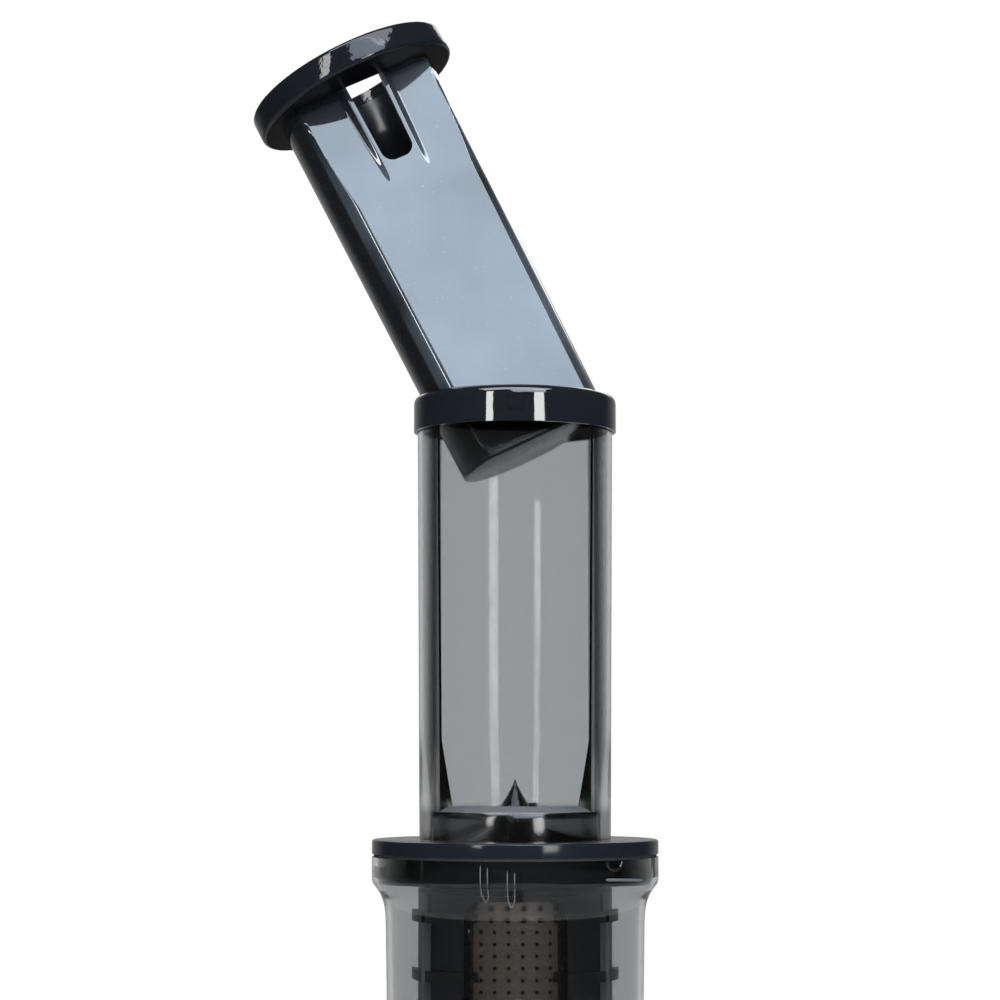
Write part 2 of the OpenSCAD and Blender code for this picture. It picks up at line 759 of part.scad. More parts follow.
// The fixed pin of the reduction gear, and the gear: a wheel and a pinion in one
module gear_pin() color("silver") translate([-wheel_gap, 0, gearbox_z]) cylinder(h = gearbox_h, r = pin_r);

module reduction_gear() color("#e6e0cf") translate([-wheel_gap, 0, first_z]) difference() {
    union() {
        rotate([0, 0, -180 / wheel_teeth]) gear(gear_m, wheel_teeth, wheel_t);
        gear(gear_m, pinion_teeth, wheel_t + 2 * stage_gap + pinion_t);
    }
    translate([0, 0, wheel_t - wheel_web_cut]) ring(wheel_hub_r, wheel_web_r, wheel_t);
    translate([0, 0, -cut]) cylinder(h = gearbox_h, r = pin_r + pin_clear);
}

module output_gear() color("#e6e0cf") translate([0, 0, second_z]) difference() {
    rotate([0, 0, 180 - 180 / wheel_teeth]) gear(gear_m, wheel_teeth, wheel_t);
    translate([0, 0, wheel_t - wheel_web_cut]) ring(wheel_hub_r, wheel_web_r, wheel_t);
    translate([0, 0, -cut]) cylinder(h = wheel_t + 2 * cut, r = shaft_r + fit_gap);
}

// The drive shaft with its hexagon, which the auger's socket fits over
module drive_shaft() color("silver") {
    translate([0, 0, shaft_z]) cylinder(h = hex_z - shaft_z, r = shaft_r);
    translate([0, 0, hex_z]) cylinder(h = hex_top - hex_tip - hex_z, r = hex_af / 2 / cos(30), $fn = 6);
    translate([0, 0, hex_top - hex_tip]) cylinder(h = hex_tip, r = hex_af / 2 - hex_tip / 2);
}

module shaft_bearing() color("silver") translate([0, 0, gearbox_top])
    ring(shaft_r + pin_clear, shaft_bearing_r, shaft_bearing_h);

module deck_seal() color("#202020") translate([0, 0, deck_z + deck_boss_h - seal_t])
    ring(hex_af / 2 / cos(30) + run_gap, deck_hole_r - fit_gap, seal_t);

// The bowl's outer outline from foot to rim, and the same line moved inward
function bowl_line(inset, foot) = concat(
    [[bowl_foot_r - inset, foot], [bowl_r - inset, shoulder_z]],
    [for (p = shoulder_shares) [bowl_r - inset + p.y * (rim_r - bowl_r), shoulder_z + p.x * shoulder_h]]);

// The bowl: wall, floor, posts, pulp channel and duct, juice spout and lock grooves
module bowl() color("#6b7074") difference() {
    bowl_form();
    bowl_cavity();
    bowl_underside();
    duct_form();
    translate([-channel_x, 0, bowl_z]) slot_bar(channel_half, channel_r + channel_wall, bowl_h);
    translate([0, -strainer_r, spout_z]) rotate([90, 0, 0]) cylinder(h = spout_reach, r = spout_bore_r);
    translate([0, 0, floor_z - hub_h - cut]) cylinder(h = hub_h + bowl_floor_t + 2 * cut, r = hub_bore_r);
    translate([idler_x, 0, floor_z + cut]) cylinder(h = bowl_h, r = idler_pin_r + fit_gap);
    lock_grooves();
}

// The bowl's outer form, filled
module bowl_form() {
    rotate_extrude() polygon(concat([[0, bowl_z]], bowl_line(0, bowl_z), [[rim_r, rim_z], [0, rim_z]]));
}

// The juice spout: a tube on the bowl's wall, with two ears for its cap's pin
module juice_spout() color("#6b7074") difference() {
    union() {
        translate([0, 0, spout_z]) rotate([90, 0, 0]) cylinder(h = spout_reach, r = spout_r);
        spout_ears();
    }
    bowl_form();
    translate([0, 0, spout_z]) rotate([90, 0, 0]) cylinder(h = spout_reach + cut, r = spout_bore_r);
    translate([-ear_half - ear_t - cut, cap_hinge_y, cap_hinge_z]) rotate([0, 90, 0])
        cylinder(h = 2 * (ear_half + ear_t + cut), r = hinge_r + fit_gap);
}

// The pulp duct under the floor, with the channel that feeds it and two ears for its flap's pin
module pulp_duct() color("#6b7074") difference() {
    union() {
        duct_form();
        translate([-channel_x, 0, floor_z - cut])
            slot_bar(channel_half, channel_r + channel_wall, post_top - floor_z + cut);
    }
    duct_bore();
    translate([flap_hinge_x, pulp_w, flap_hinge_z]) rotate([90, 0, 0])
        cylinder(h = 2 * pulp_w, r = hinge_r + fit_gap);
}

// The space above the floor, less the posts
module bowl_cavity() difference() {
    rotate_extrude() polygon(concat([[0, floor_top]],
        [[bowl_foot_r - bowl_wall, floor_top]],
        [for (p = bowl_line(bowl_wall, bowl_z)) if (p.y > floor_top) p],
        [[rim_r - bowl_wall, rim_z + cut], [0, rim_z + cut]]));
    for (a = strainer_post_angles) rotate([0, 0, a]) translate([strainer_post_ring, 0, floor_top - cut])
        cylinder(h = post_top - floor_top + cut, r = strainer_post_r);
}

// The space under the floor, less the hub and the pulp duct
module bowl_underside() difference() {
    translate([0, 0, bowl_z - cut]) cylinder(h = bowl_floor_h + cut, r = bowl_foot_r - bowl_wall);
    translate([0, 0, floor_z - hub_h]) cylinder(h = hub_h + cut, r = hub_r);
}

// The pulp duct's outer form and its bore, both drawn in the XZ plane
module duct_form() {
    translate([-pulp_reach, -pulp_w / 2 - duct_wall, duct_z])
        cube([pulp_reach - duct_in_x + duct_wall, pulp_w + 2 * duct_wall, duct_top + duct_wall - duct_z]);
    translate([-duct_in_x + duct_wall - (bowl_foot_r - duct_in_x), -pulp_w / 2 - duct_wall, duct_top])
        cube([bowl_foot_r - duct_in_x - bowl_wall, pulp_w + 2 * duct_wall, floor_z - duct_top]);
    for (s = [-1, 1]) translate([flap_hinge_x, s * (pulp_w / 2 + duct_wall - flap_ear_t / 2) + flap_ear_t / 2, 0])
        rotate([90, 0, 0]) {
            translate([0, flap_hinge_z, 0]) cylinder(h = flap_ear_t, r = flap_hinge_r);
            translate([-flap_hinge_r, duct_top, 0]) cube([2 * flap_hinge_r, flap_hinge_z - duct_top, flap_ear_t]);
        }
}

module duct_bore() {
    translate([0, pulp_w / 2, 0]) rotate([90, 0, 0]) linear_extrude(height = pulp_w) polygon([
        [-duct_in_x, floor_z - bowl_floor_t + 1], [-duct_in_x, duct_ramp_z], [-duct_ramp_x, duct_z + duct_wall],
        [-pulp_reach - cut, duct_z + duct_wall], [-pulp_reach - cut, duct_top],
        [-channel_x - channel_r - duct_wall, duct_top]]);
    translate([-channel_x, 0, duct_ramp_z]) slot_bar(channel_half, channel_r, bowl_h);
}

// Two ears on the spout that hold the cap's pin
module spout_ears() for (s = [-1, 1])
    translate([s * (ear_half + ear_t / 2) - ear_t / 2, cap_hinge_y, 0]) rotate([90, 0, 90]) {
        translate([0, cap_hinge_z, 0]) cylinder(h = ear_t, r = ear_r);
        translate([-ear_r, spout_z, 0]) cube([2 * ear_r, cap_hinge_z - spout_z, ear_t]);
    }

// Grooves inside the rim where the lid's lugs enter and turn
module lock_grooves() {
    slot_w = lug_w + 4 * lug_play;
    slot_half = asin(slot_w / 2 / skirt_r);
    around(lug_count, lug_angle) {
        rotate([0, 0, -slot_half]) translate([0, 0, lid_z - lug_drop - lug_h - lug_play])
            rotate_extrude(angle = lid_twist + 2 * slot_half)
                translate([skirt_r, 0]) square([lug_out + lug_play, lug_h + 2 * lug_play]);
        rotate([0, 0, lid_twist]) translate([skirt_r, -slot_w / 2, lid_z - lug_drop - lug_h])
            cube([lug_out + 2 * lug_play, slot_w, bowl_h]);
    }
}

module bowl_seal() color("#a9a9a9") translate([0, 0, floor_z - hub_h])
    ring(hex_af / 2 / cos(30) + run_gap, hub_bore_r - fit_gap, hub_h + bowl_floor_t);

// The juice cap: a lever with a disc that closes the spout, its gasket and its pin
module juice_cap() color("#303336") difference() {
    union() {
        translate([0, cap_back_y, spout_z]) rotate([90, 0, 0]) cylinder(h = lever_t, r = spout_r);
        translate([0, cap_back_y - lever_t / 2, spout_z]) block(lever_w, lever_t, cap_hinge_z - spout_z);
        translate([-lever_w / 2, cap_back_y - lever_t, cap_hinge_z - lever_t])
            cube([lever_w, cap_hinge_y - cap_back_y + lever_t, 2 * lever_t]);
        translate([-lever_w / 2, cap_hinge_y, cap_hinge_z]) rotate([0, 90, 0]) cylinder(h = lever_w, r = lever_t);
        translate([-lever_w / 2, cap_back_y - lever_t - hinge_rise, cap_hinge_z])
            cube([lever_w, hinge_rise + lever_t, lever_t]);
    }
    translate([0, cap_back_y + cut, spout_z]) rotate([90, 0, 0])
        cylinder(h = gasket_sunk + cut, r = spout_bore_r + spout_wall / 2 + fit_gap);
    translate([-ear_half, cap_hinge_y, cap_hinge_z]) rotate([0, 90, 0])
        cylinder(h = 2 * ear_half, r = hinge_r + pin_clear);
}

module cap_gasket() color("#c9c9c9") translate([0, cap_back_y - gasket_sunk + gasket_t, spout_z]) rotate([90, 0, 0])
    cylinder(h = gasket_t, r = spout_bore_r + spout_wall / 2);

module cap_pin() color("silver") translate([-ear_half - ear_t, cap_hinge_y, cap_hinge_z]) rotate([0, 90, 0])
    cylinder(h = 2 * (ear_half + ear_t), r = hinge_r);

// The pulp outlet's flap and its pin
module pulp_flap() color("#303336") difference() {
    union() {
        translate([-pulp_reach - flap_gap - flap_t, -pulp_w / 2 + 2 * flap_gap, duct_z + duct_wall])
            cube([flap_t, pulp_w - 4 * flap_gap, flap_hinge_z - duct_z - duct_wall]);
        translate([flap_hinge_x, pulp_w / 2 - flap_ear_t, flap_hinge_z]) rotate([90, 0, 0])
            cylinder(h = pulp_w - 2 * flap_ear_t, r = flap_hinge_r - 1);
        translate([-pulp_reach - flap_gap - flap_t, -pulp_w / 2 + flap_ear_t, flap_hinge_z - 1])
            cube([flap_hinge_x + pulp_reach + flap_gap + flap_t, pulp_w - 2 * flap_ear_t, flap_t]);
    }
    translate([flap_hinge_x, pulp_w, flap_hinge_z]) rotate([90, 0, 0])
        cylinder(h = 2 * pulp_w, r = hinge_r + pin_clear);
}

module flap_pin() color("silver") translate([flap_hinge_x, pulp_w / 2 + duct_wall, flap_hinge_z])
    rotate([90, 0, 0]) cylinder(h = pulp_w + 2 * duct_wall, r = hinge_r);

// The strainer's plastic frame: floor, two rings and ribs
module strainer_frame() color("#2c2f33") difference() {
    union() {
        translate([0, 0, strainer_floor_z]) cylinder(h = strainer_floor_t, r = strainer_r);
        translate([0, 0, chamber_z]) ring(mesh_in_r - strainer_rib_t, strainer_r, strainer_ring_h);
        translate([0, 0, mesh_top]) ring(mesh_in_r - strainer_rib_t, strainer_r, strainer_ring_h);
        translate([0, 0, strainer_top - strainer_ring_h / 2])
            ring(mesh_in_r - strainer_rib_t, brush_r, strainer_ring_h / 2);
        around(strainer_ribs, 180 / strainer_ribs) intersection() {
            translate([0, 0, chamber_z]) ring(mesh_in_r - strainer_rib_t, mesh_in_r - fit_gap, mesh_top - chamber_z + cut);
            translate([mesh_in_r, 0, chamber_z]) block(2 * strainer_rib_w, strainer_rib_w, mesh_top - chamber_z + cut);
        }
    }
    translate([0, 0, strainer_floor_z - cut]) cylinder(h = strainer_floor_t + 2 * cut, r = strainer_hole_r);
    translate([-channel_x, 0, strainer_floor_z - cut]) slot_bar(channel_half, channel_r, strainer_floor_t + 2 * cut);
}

// The strainer's steel wall: rows of large holes on top and of small ones below
module strainer_mesh() color("#b8bbbe") difference() {
    translate([0, 0, mesh_z]) ring(mesh_in_r, strainer_r, mesh_top - mesh_z);
    step = (mesh_top - mesh_z - 2 * mesh_margin) / (hole_rows - 1);
    for (row = [0:hole_rows - 1]) {
        big = row >= hole_rows - large_rows;
        shift = row % 2 == 0 ? 0 : 180 / hole_columns;
        around(hole_columns / 2, shift)
            translate([0, 0, mesh_z + mesh_margin + row * step]) rotate([90, 0, 0])
                translate([0, 0, -strainer_r - cut])
                    cylinder(h = 2 * (strainer_r + cut), r = big ? hole_r : hole_r * small_hole_share, $fn = 12);
    }
}

// The brush: a cage of three panels with an inner gear at its foot
module brush_frame() color("#25282c") difference() {
    union() {
        translate([0, 0, brush_z + ring_t]) ring(brush_in_r, brush_r, brush_top - brush_z - ring_t);
        for (drop = brush_rib_drops) translate([0, 0, brush_top - drop - brush_rib_t])
            ring(brush_in_r, brush_r + brush_rib, brush_rib_t);
        translate([0, 0, brush_z]) difference() {
            cylinder(h = ring_t, r = brush_r);
            translate([0, 0, -cut]) linear_extrude(height = ring_t + 2 * cut)
                polygon(gear_outline(brush_gear_m, ring_teeth, root_share, tip_share, -backlash_share));
        }
    }
    around(brush_windows, -90) brush_window();
    around(brush_windows, 90) translate([brush_r, 0, brush_z + brush_foot_h])
        block(2 * (brush_wall + brush_rib + cut), blade_slot, brush_top);
}

// One window of the cage: straight sides and an arched top
module brush_window() {
    top = brush_top - brush_head_h - arch_r;
    half = brush_r * sin(window_angle / 2);
    translate([brush_in_r * cos(window_angle), -half, brush_z + brush_foot_h])
        cube([brush_r, 2 * half, top - brush_z - brush_foot_h]);
    for (s = [-1, 1]) translate([brush_in_r * cos(window_angle), s * (half - arch_r), top]) rotate([0, 90, 0])
        cylinder(h = brush_r, r = arch_r);
    translate([brush_in_r * cos(window_angle), -half + arch_r, top - cut])
        cube([brush_r, 2 * (half - arch_r), arch_r + cut]);
}

// Three wiper blades of silicone, in the slots of the panels
module brush_blades() color("#5a5f63") around(brush_windows, 90)
    translate([0, 0, brush_z + brush_foot_h + fit_gap]) intersection() {
        translate([(blade_in_r + blade_out_r) / 2, 0, 0])
            block(blade_out_r - blade_in_r + cut, blade_w, brush_top - blade_drop - brush_z - brush_foot_h);
        ring(blade_in_r, blade_out_r, brush_top);
    }

// The idler gear and its pin on the bowl's floor
module idler_gear() color("#e6e0cf") translate([idler_x, 0, brush_gear_z]) difference() {
    gear(brush_gear_m, idler_teeth, brush_gear_t);
    translate([0, 0, -cut]) cylinder(h = brush_gear_t + 2 * cut, r = idler_pin_r + pin_clear);
}

module idler_pin() color("silver") translate([idler_x, 0, floor_z + cut])
    cylinder(h = post_top - floor_z - cut - run_gap, r = idler_pin_r);

// The auger: gear, stem, disc, tapering core, two flights and a pointed top with a hook
module auger() color("#17191b") difference() {
    union() {
        translate([0, 0, auger_z]) gear(brush_gear_m, sun_teeth, brush_gear_t);
        translate([0, 0, auger_z]) cylinder(h = auger_disc_z - auger_z + cut, r = sun_root_r);
        translate([0, 0, auger_z + brush_gear_t + run_gap])
            cylinder(h = auger_disc_z - auger_z - brush_gear_t, r = stem_r);
        rotate_extrude() polygon(concat(
            [[0, auger_disc_z], [flight_r, auger_disc_z], [flight_r, auger_disc_z + auger_disc_t],
             [core_r, auger_disc_z + 2 * auger_disc_t], [core_top_r, flight_top]],
            [for (i = [1:nose_steps]) let (s = i / nose_steps)
                [core_top_r * pow(1 - s, nose_power), flight_top + s * (tip_z - flight_top)]]));
        translate([0, 0, auger_disc_z + auger_disc_t]) linear_extrude(
            height = flight_top - auger_disc_z - auger_disc_t, twist = flight_turn, slices = flight_slices,
            $fn = flight_facets)
            for (i = [0:flight_count - 1]) rotate(i * 360 / flight_count) flight_shape(flight_r);
        rotate([0, 0, -flight_turn]) translate([0, 0, flight_top]) linear_extrude(height = hook_h,
            twist = hook_turn, scale = hook_scale, slices = hook_slices, $fn = flight_facets)
            flight_shape(hook_r);
    }
    translate([0, 0, auger_z - cut])
        cylinder(h = socket_top - auger_z + cut, r = (hex_af + hex_clear) / 2 / cos(30), $fn = 6);
}

// A flight seen from above: a blade from the core to its tip, a little thinner there
module flight_shape(r) polygon([[0, -flight_t / 2], [core_r, -flight_t / 2], [r, -flight_t / 4],
    [r, flight_t / 4], [core_r, flight_t / 2], [0, flight_t / 2]]);

module auger_washer() color("#c9c9c9") translate([0, 0, floor_top])
    ring(hex_af / 2 / cos(30) + 2 * run_gap, washer_r, washer_t - fit_gap);

// The lid: flange, skirt with its lugs, and the guide ring over the strainer
module lid() color("#101214") {
    rotate_extrude() polygon(concat(
        [[lid_bore_r, lid_z - skirt_h - 1], [lid_bore_r + guide_wall, lid_z - skirt_h - 1],
         [lid_bore_r + guide_wall, lid_z], [skirt_r - skirt_wall, lid_z], [skirt_r - skirt_wall, lid_z - skirt_h],
         [skirt_r - skirt_chamfer, lid_z - skirt_h], [skirt_r, lid_z - skirt_h + 2 * skirt_chamfer],
         [skirt_r, lid_z], [rim_r, lid_z]],
        corner(rim_r - lid_round, lid_top - lid_round, lid_round, 0), [[lid_bore_r, lid_top]]));
    around(lug_count, lug_angle) translate([skirt_r - cut, -lug_w / 2, lid_z - lug_drop - lug_h])
        cube([cut + lug_out, lug_w, lug_h]);
}

module lid_seal() color("#2a2a2a") translate([0, 0, rim_z]) ring(skirt_r + run_gap, skirt_r + run_gap + lid_seal_w, lid_gap);

// The half space behind the chute's flat, moved by an inset
module behind_flat(flat, z, h) {
    translate([-rim_r, -flat, z]) cube([2 * rim_r, 2 * rim_r, h]);
}

// The chute: a D-shaped tube that widens upward, a funnel in its foot and a round drum in front
module chute() color("#7d8387") difference() {
    union() {
        intersection() {
            translate([0, 0, chute_z]) cylinder(h = tube_top - chute_z, r1 = chute_foot_r, r2 = chute_top_r);
            behind_flat(chute_flat, chute_z, chute_h);
        }
        intersection() {
            rotate_extrude() polygon(concat([[0, chute_z], [drum_r, chute_z]],
                corner(drum_r - drum_round, drum_top - drum_round, drum_round, 0), [[0, drum_top]]));
            translate([-drum_half_w, -rim_r, chute_z]) cube([2 * drum_half_w, rim_r, drum_h]);
        }
        translate([0, 0, lid_z]) cylinder(h = lid_t + cut, r = spigot_r);
    }
    chute_bore();
}

// The chute's bore: D-shaped above, a funnel below, and round through the drum and the lid
module chute_bore() {
    slope = (chute_top_r - chute_foot_r) / (tube_top - chute_z);
    funnel_r = chute_foot_r - chute_wall + slope * funnel_h;
    intersection() {
        translate([0, 0, chute_z + funnel_h]) cylinder(h = chute_h - funnel_h, r1 = funnel_r,
            r2 = funnel_r + slope * (chute_h - funnel_h));
        behind_flat(flat_in, chute_z, chute_h + cut);
    }
    intersection() {
        union() {
            translate([0, 0, drum_top]) cylinder(h = funnel_h - drum_h, r1 = throat_r, r2 = funnel_r);
            translate([0, 0, chute_z]) cylinder(h = drum_h, r = throat_r);
        }
        behind_flat(flat_in, chute_z, chute_h);
    }
    translate([0, 0, lid_z - cut]) cylinder(h = drum_top - drum_roof - lid_z + cut, r = throat_r);
}

// The collar round the mouth, hollow in front of the flat, with a chamfered mouth
module collar() color("#101214") difference() {
    rotate_extrude() polygon(concat([[0, collar_z], [collar_r, collar_z]],
        corner(collar_r - collar_round, mouth_z - collar_round, collar_round, 0), [[0, mouth_z]]));
    translate([0, 0, collar_z - cut]) cylinder(h = tube_top - collar_z + cut, r = chute_top_r + fit_gap);
    intersection() {
        translate([0, 0, collar_z]) cylinder(h = chute_h, r = bore_top_r);
        behind_flat(flat_in, collar_z, chute_h);
    }
    intersection() {
        translate([0, 0, mouth_z - mouth_chamfer])
            cylinder(h = mouth_chamfer + cut, r1 = bore_top_r, r2 = bore_top_r + mouth_chamfer + cut);
        behind_flat(flat_in + mouth_chamfer / 2, collar_z, chute_h);
    }
    translate([0, 0, mouth_z - plug_drop]) rotate([90, 0, 0]) cylinder(h = collar_r + cut, r = plug_r + fit_gap);
}

// The small round plug in the collar's front
module collar_plug() color("#0b0c0d") translate([0, -chute_top_r - fit_gap, mouth_z - plug_drop]) rotate([90, 0, 0])
    cylinder(h = collar_wall + plug_proud, r = plug_r);

// Places its children in the pusher's own frame: foot on the origin, axis up, flat face to -Y
module push_place() {
    translate([push_foot_x, push_foot_y, mouth_z - push_sink]) rotate([-push_back, -push_lean, 0])
        rotate([0, 0, push_turn]) children();
}

// A D-shaped outline with rounded ends to its flat
module d_outline(r, flat, edge) {
    cx = sqrt(pow(r - edge, 2) - pow(flat - edge, 2));
    intersection() {
        circle(r = r, $fn = push_facets);
        translate([-r, -flat + edge]) square([2 * r, 2 * r]);
    }
    for (s = [-1, 1]) translate([s * cx, -flat + edge]) circle(r = edge, $fn = push_facets);
    translate([-cx, -flat]) square([2 * cx, edge]);
}

// A D-shaped bar that widens upward, moved inward by an inset
module d_bar(inset, z, h) {
    widen = (push_top_r - push_foot_r) / cap_z;
    hull() {
        translate([0, 0, z]) linear_extrude(height = push_slice)
            d_outline(push_foot_r + widen * z - inset, push_flat - inset, push_edge_r);
        translate([0, 0, z + h - push_slice]) linear_extrude(height = push_slice)
            d_outline(push_foot_r + widen * (z + h) - inset, push_flat - inset, push_edge_r);
    }
}

// The pusher's body: a hollow D cup with scoops beside a tab, and the tab's grip window
module pusher_body() color("#101214") push_place() difference() {
    d_bar(0, 0, cap_z + cap_socket);
    difference() {
        d_bar(push_wall, push_floor, push_l);
        scoop(push_wall);
    }
    scoop(0);
    grip_window();
}

// The scoops: the flat face drops back toward the cap on both sides of the tab
module scoop(back) {
    drop = [for (i = [0:scoop_steps]) let (s = i / scoop_steps) [-push_flat + scoop_depth * s * s + back,
        cap_z - scoop_l * (1 - s)]];
    for (s = [-1, 1]) mirror([s > 0 ? 0 : 1, 0, 0]) intersection() {
        rotate([90, 0, 90]) linear_extrude(height = push_top_r) polygon(concat(
            [[-push_top_r, cap_z - scoop_l]], drop,
            [[-push_flat + scoop_depth + back, push_l], [-push_top_r, push_l]]));
        tab_side(back);
    }
}

// The space beside the tab: its edge spreads toward the cap
module tab_side(back) {
    translate([0, push_top_r, 0]) rotate([90, 0, 0]) linear_extrude(height = 2 * push_top_r) polygon([
        [tab_w / 2 + back, cap_z - scoop_l], [tab_w / 2 + tab_spread + back, cap_z],
        [tab_w / 2 + tab_spread + back, push_l], [push_top_r, push_l], [push_top_r, cap_z - scoop_l]]);
}

// The U-shaped window through the tab, open into the hollow body
module grip_window() {
    foot = cap_z - window_l;
    translate([0, 0, 0]) rotate([90, 0, 0]) linear_extrude(height = push_top_r) {
        polygon([[-window_foot_w / 2, foot + window_round], [window_foot_w / 2, foot + window_round],
            [window_w / 2, push_l], [-window_w / 2, push_l]]);
        for (s = [-1, 1]) translate([s * (window_foot_w / 2 - window_round), foot + window_round])
            circle(r = window_round);
        translate([-window_foot_w / 2 + window_round, foot])
            square([window_foot_w - 2 * window_round, 2 * window_round]);
    }
}

// The pusher's cap: a round-edged ring with a socket for the body and the same hollow
module pusher_cap() color("#101214") push_place() difference() {
    translate([0, 0, cap_z]) rotate_extrude() polygon(concat(
        [[0, 0]], corner(cap_r - cap_round, cap_round, cap_round, 270),
        corner(cap_r - cap_round, cap_t - cap_round, cap_round, 0), [[0, cap_t]]));
    d_bar(-fit_gap, cap_z - cut, cap_socket + cut + fit_gap);
    d_bar(push_wall, cap_z, cap_t + cut);
}

base_housing();
top_deck();
base_plate();
rubber_feet();
base_screws();
deck_screws();
vent_grille();
power_inlet();
rotary_switch();
circuit_board();
control_knob();
motor_can();
stator_core();
rotor_core();
rotor_pinion();
cooling_fan();
motor_bearings();
motor_screws();
gearbox_case();
gearbox_cover();
gearbox_screws();
gear_pin();
reduction_gear();
output_gear();
drive_shaft();
shaft_bearing();
deck_seal();
bowl();
juice_spout();
pulp_duct();
bowl_seal();
juice_cap();
cap_gasket();
cap_pin();
pulp_flap();
flap_pin();
strainer_frame();
strainer_mesh();
brush_frame();
brush_blades();
idler_gear();
idler_pin();
auger();
auger_washer();
lid();
lid_seal();
chute();
collar();
collar_plug();
pusher_body();
pusher_cap();
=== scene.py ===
"""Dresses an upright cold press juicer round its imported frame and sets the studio."""

import json
import logging
import math
from collections.abc import Callable
from dataclasses import dataclass, field
from enum import Enum

import bmesh
import bpy
from mathutils import Matrix, Vector
from mathutils.bvhtree import BVHTree


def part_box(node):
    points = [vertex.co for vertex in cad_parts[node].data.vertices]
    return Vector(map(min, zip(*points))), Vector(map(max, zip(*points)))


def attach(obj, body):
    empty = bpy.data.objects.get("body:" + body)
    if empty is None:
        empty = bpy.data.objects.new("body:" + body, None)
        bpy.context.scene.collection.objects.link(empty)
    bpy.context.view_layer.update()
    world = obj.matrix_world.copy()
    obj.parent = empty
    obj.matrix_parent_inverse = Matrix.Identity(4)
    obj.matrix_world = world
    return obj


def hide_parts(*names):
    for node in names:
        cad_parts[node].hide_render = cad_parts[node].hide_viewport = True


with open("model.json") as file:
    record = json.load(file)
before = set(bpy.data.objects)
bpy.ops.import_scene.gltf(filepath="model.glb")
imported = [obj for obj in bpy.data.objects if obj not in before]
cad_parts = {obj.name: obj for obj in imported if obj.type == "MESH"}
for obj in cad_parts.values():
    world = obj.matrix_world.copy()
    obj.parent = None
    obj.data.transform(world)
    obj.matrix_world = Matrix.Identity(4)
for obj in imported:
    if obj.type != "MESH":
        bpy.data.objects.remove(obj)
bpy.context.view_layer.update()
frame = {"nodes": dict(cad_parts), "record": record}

LOG = logging.getLogger("juicer")
MM = 0.001
ARC_STEPS = 10
Colour = tuple[float, float, float]
Place = tuple[float, float, float]
Marks = tuple[tuple[float, float], ...]


class Grain(Enum):
    """How the surface of a finish is worked."""

    SMOOTH = "smooth"
    MOULDED = "moulded"
    BRUSHED = "brushed"
    TURNED = "turned"
    WOUND = "wound"
    CAST = "cast"


class Value:
    """A shader value that takes Python's arithmetic."""

    def __init__(self, graph: "Graph", socket: bpy.types.NodeSocket) -> None:
        """Keeps the graph that owns the socket.

        Args:
            graph: The material graph that new nodes go into.
            socket: The output socket to work with.
        """
        self.graph = graph
        self.socket = socket

    def _math(self, operation: str, first: "Value | float", second: "Value | float") -> "Value":
        """Adds one Math node.

        Args:
            operation: The node's operation.
            first: The left operand.
            second: The right operand.

        Returns:
            The node's result.
        """
        return self.graph.node("ShaderNodeMath", {"operation": operation}, {0: first, 1: second})

    def __add__(self, other: "Value | float") -> "Value":
        """Returns self plus other."""
        return self._math("ADD", self, other)

    __radd__ = __add__

    def __rsub__(self, other: "Value | float") -> "Value":
        """Returns other minus self."""
        return self._math("SUBTRACT", other, self)

    def __mul__(self, other: "Value | float") -> "Value":
        """Returns self times other."""
        return self._math("MULTIPLY", self, other)

    __rmul__ = __mul__

    def __abs__(self) -> "Value":
        """Returns self without its sign."""
        return self._math("ABSOLUTE", self, 0.0)

    def larger(self, other: "Value | float") -> "Value":
        """Returns the larger of self and other."""
        return self._math("MAXIMUM", self, other)

    def smaller(self, other: "Value | float") -> "Value":
        """Returns the smaller of self and other."""
        return self._math("MINIMUM", self, other)


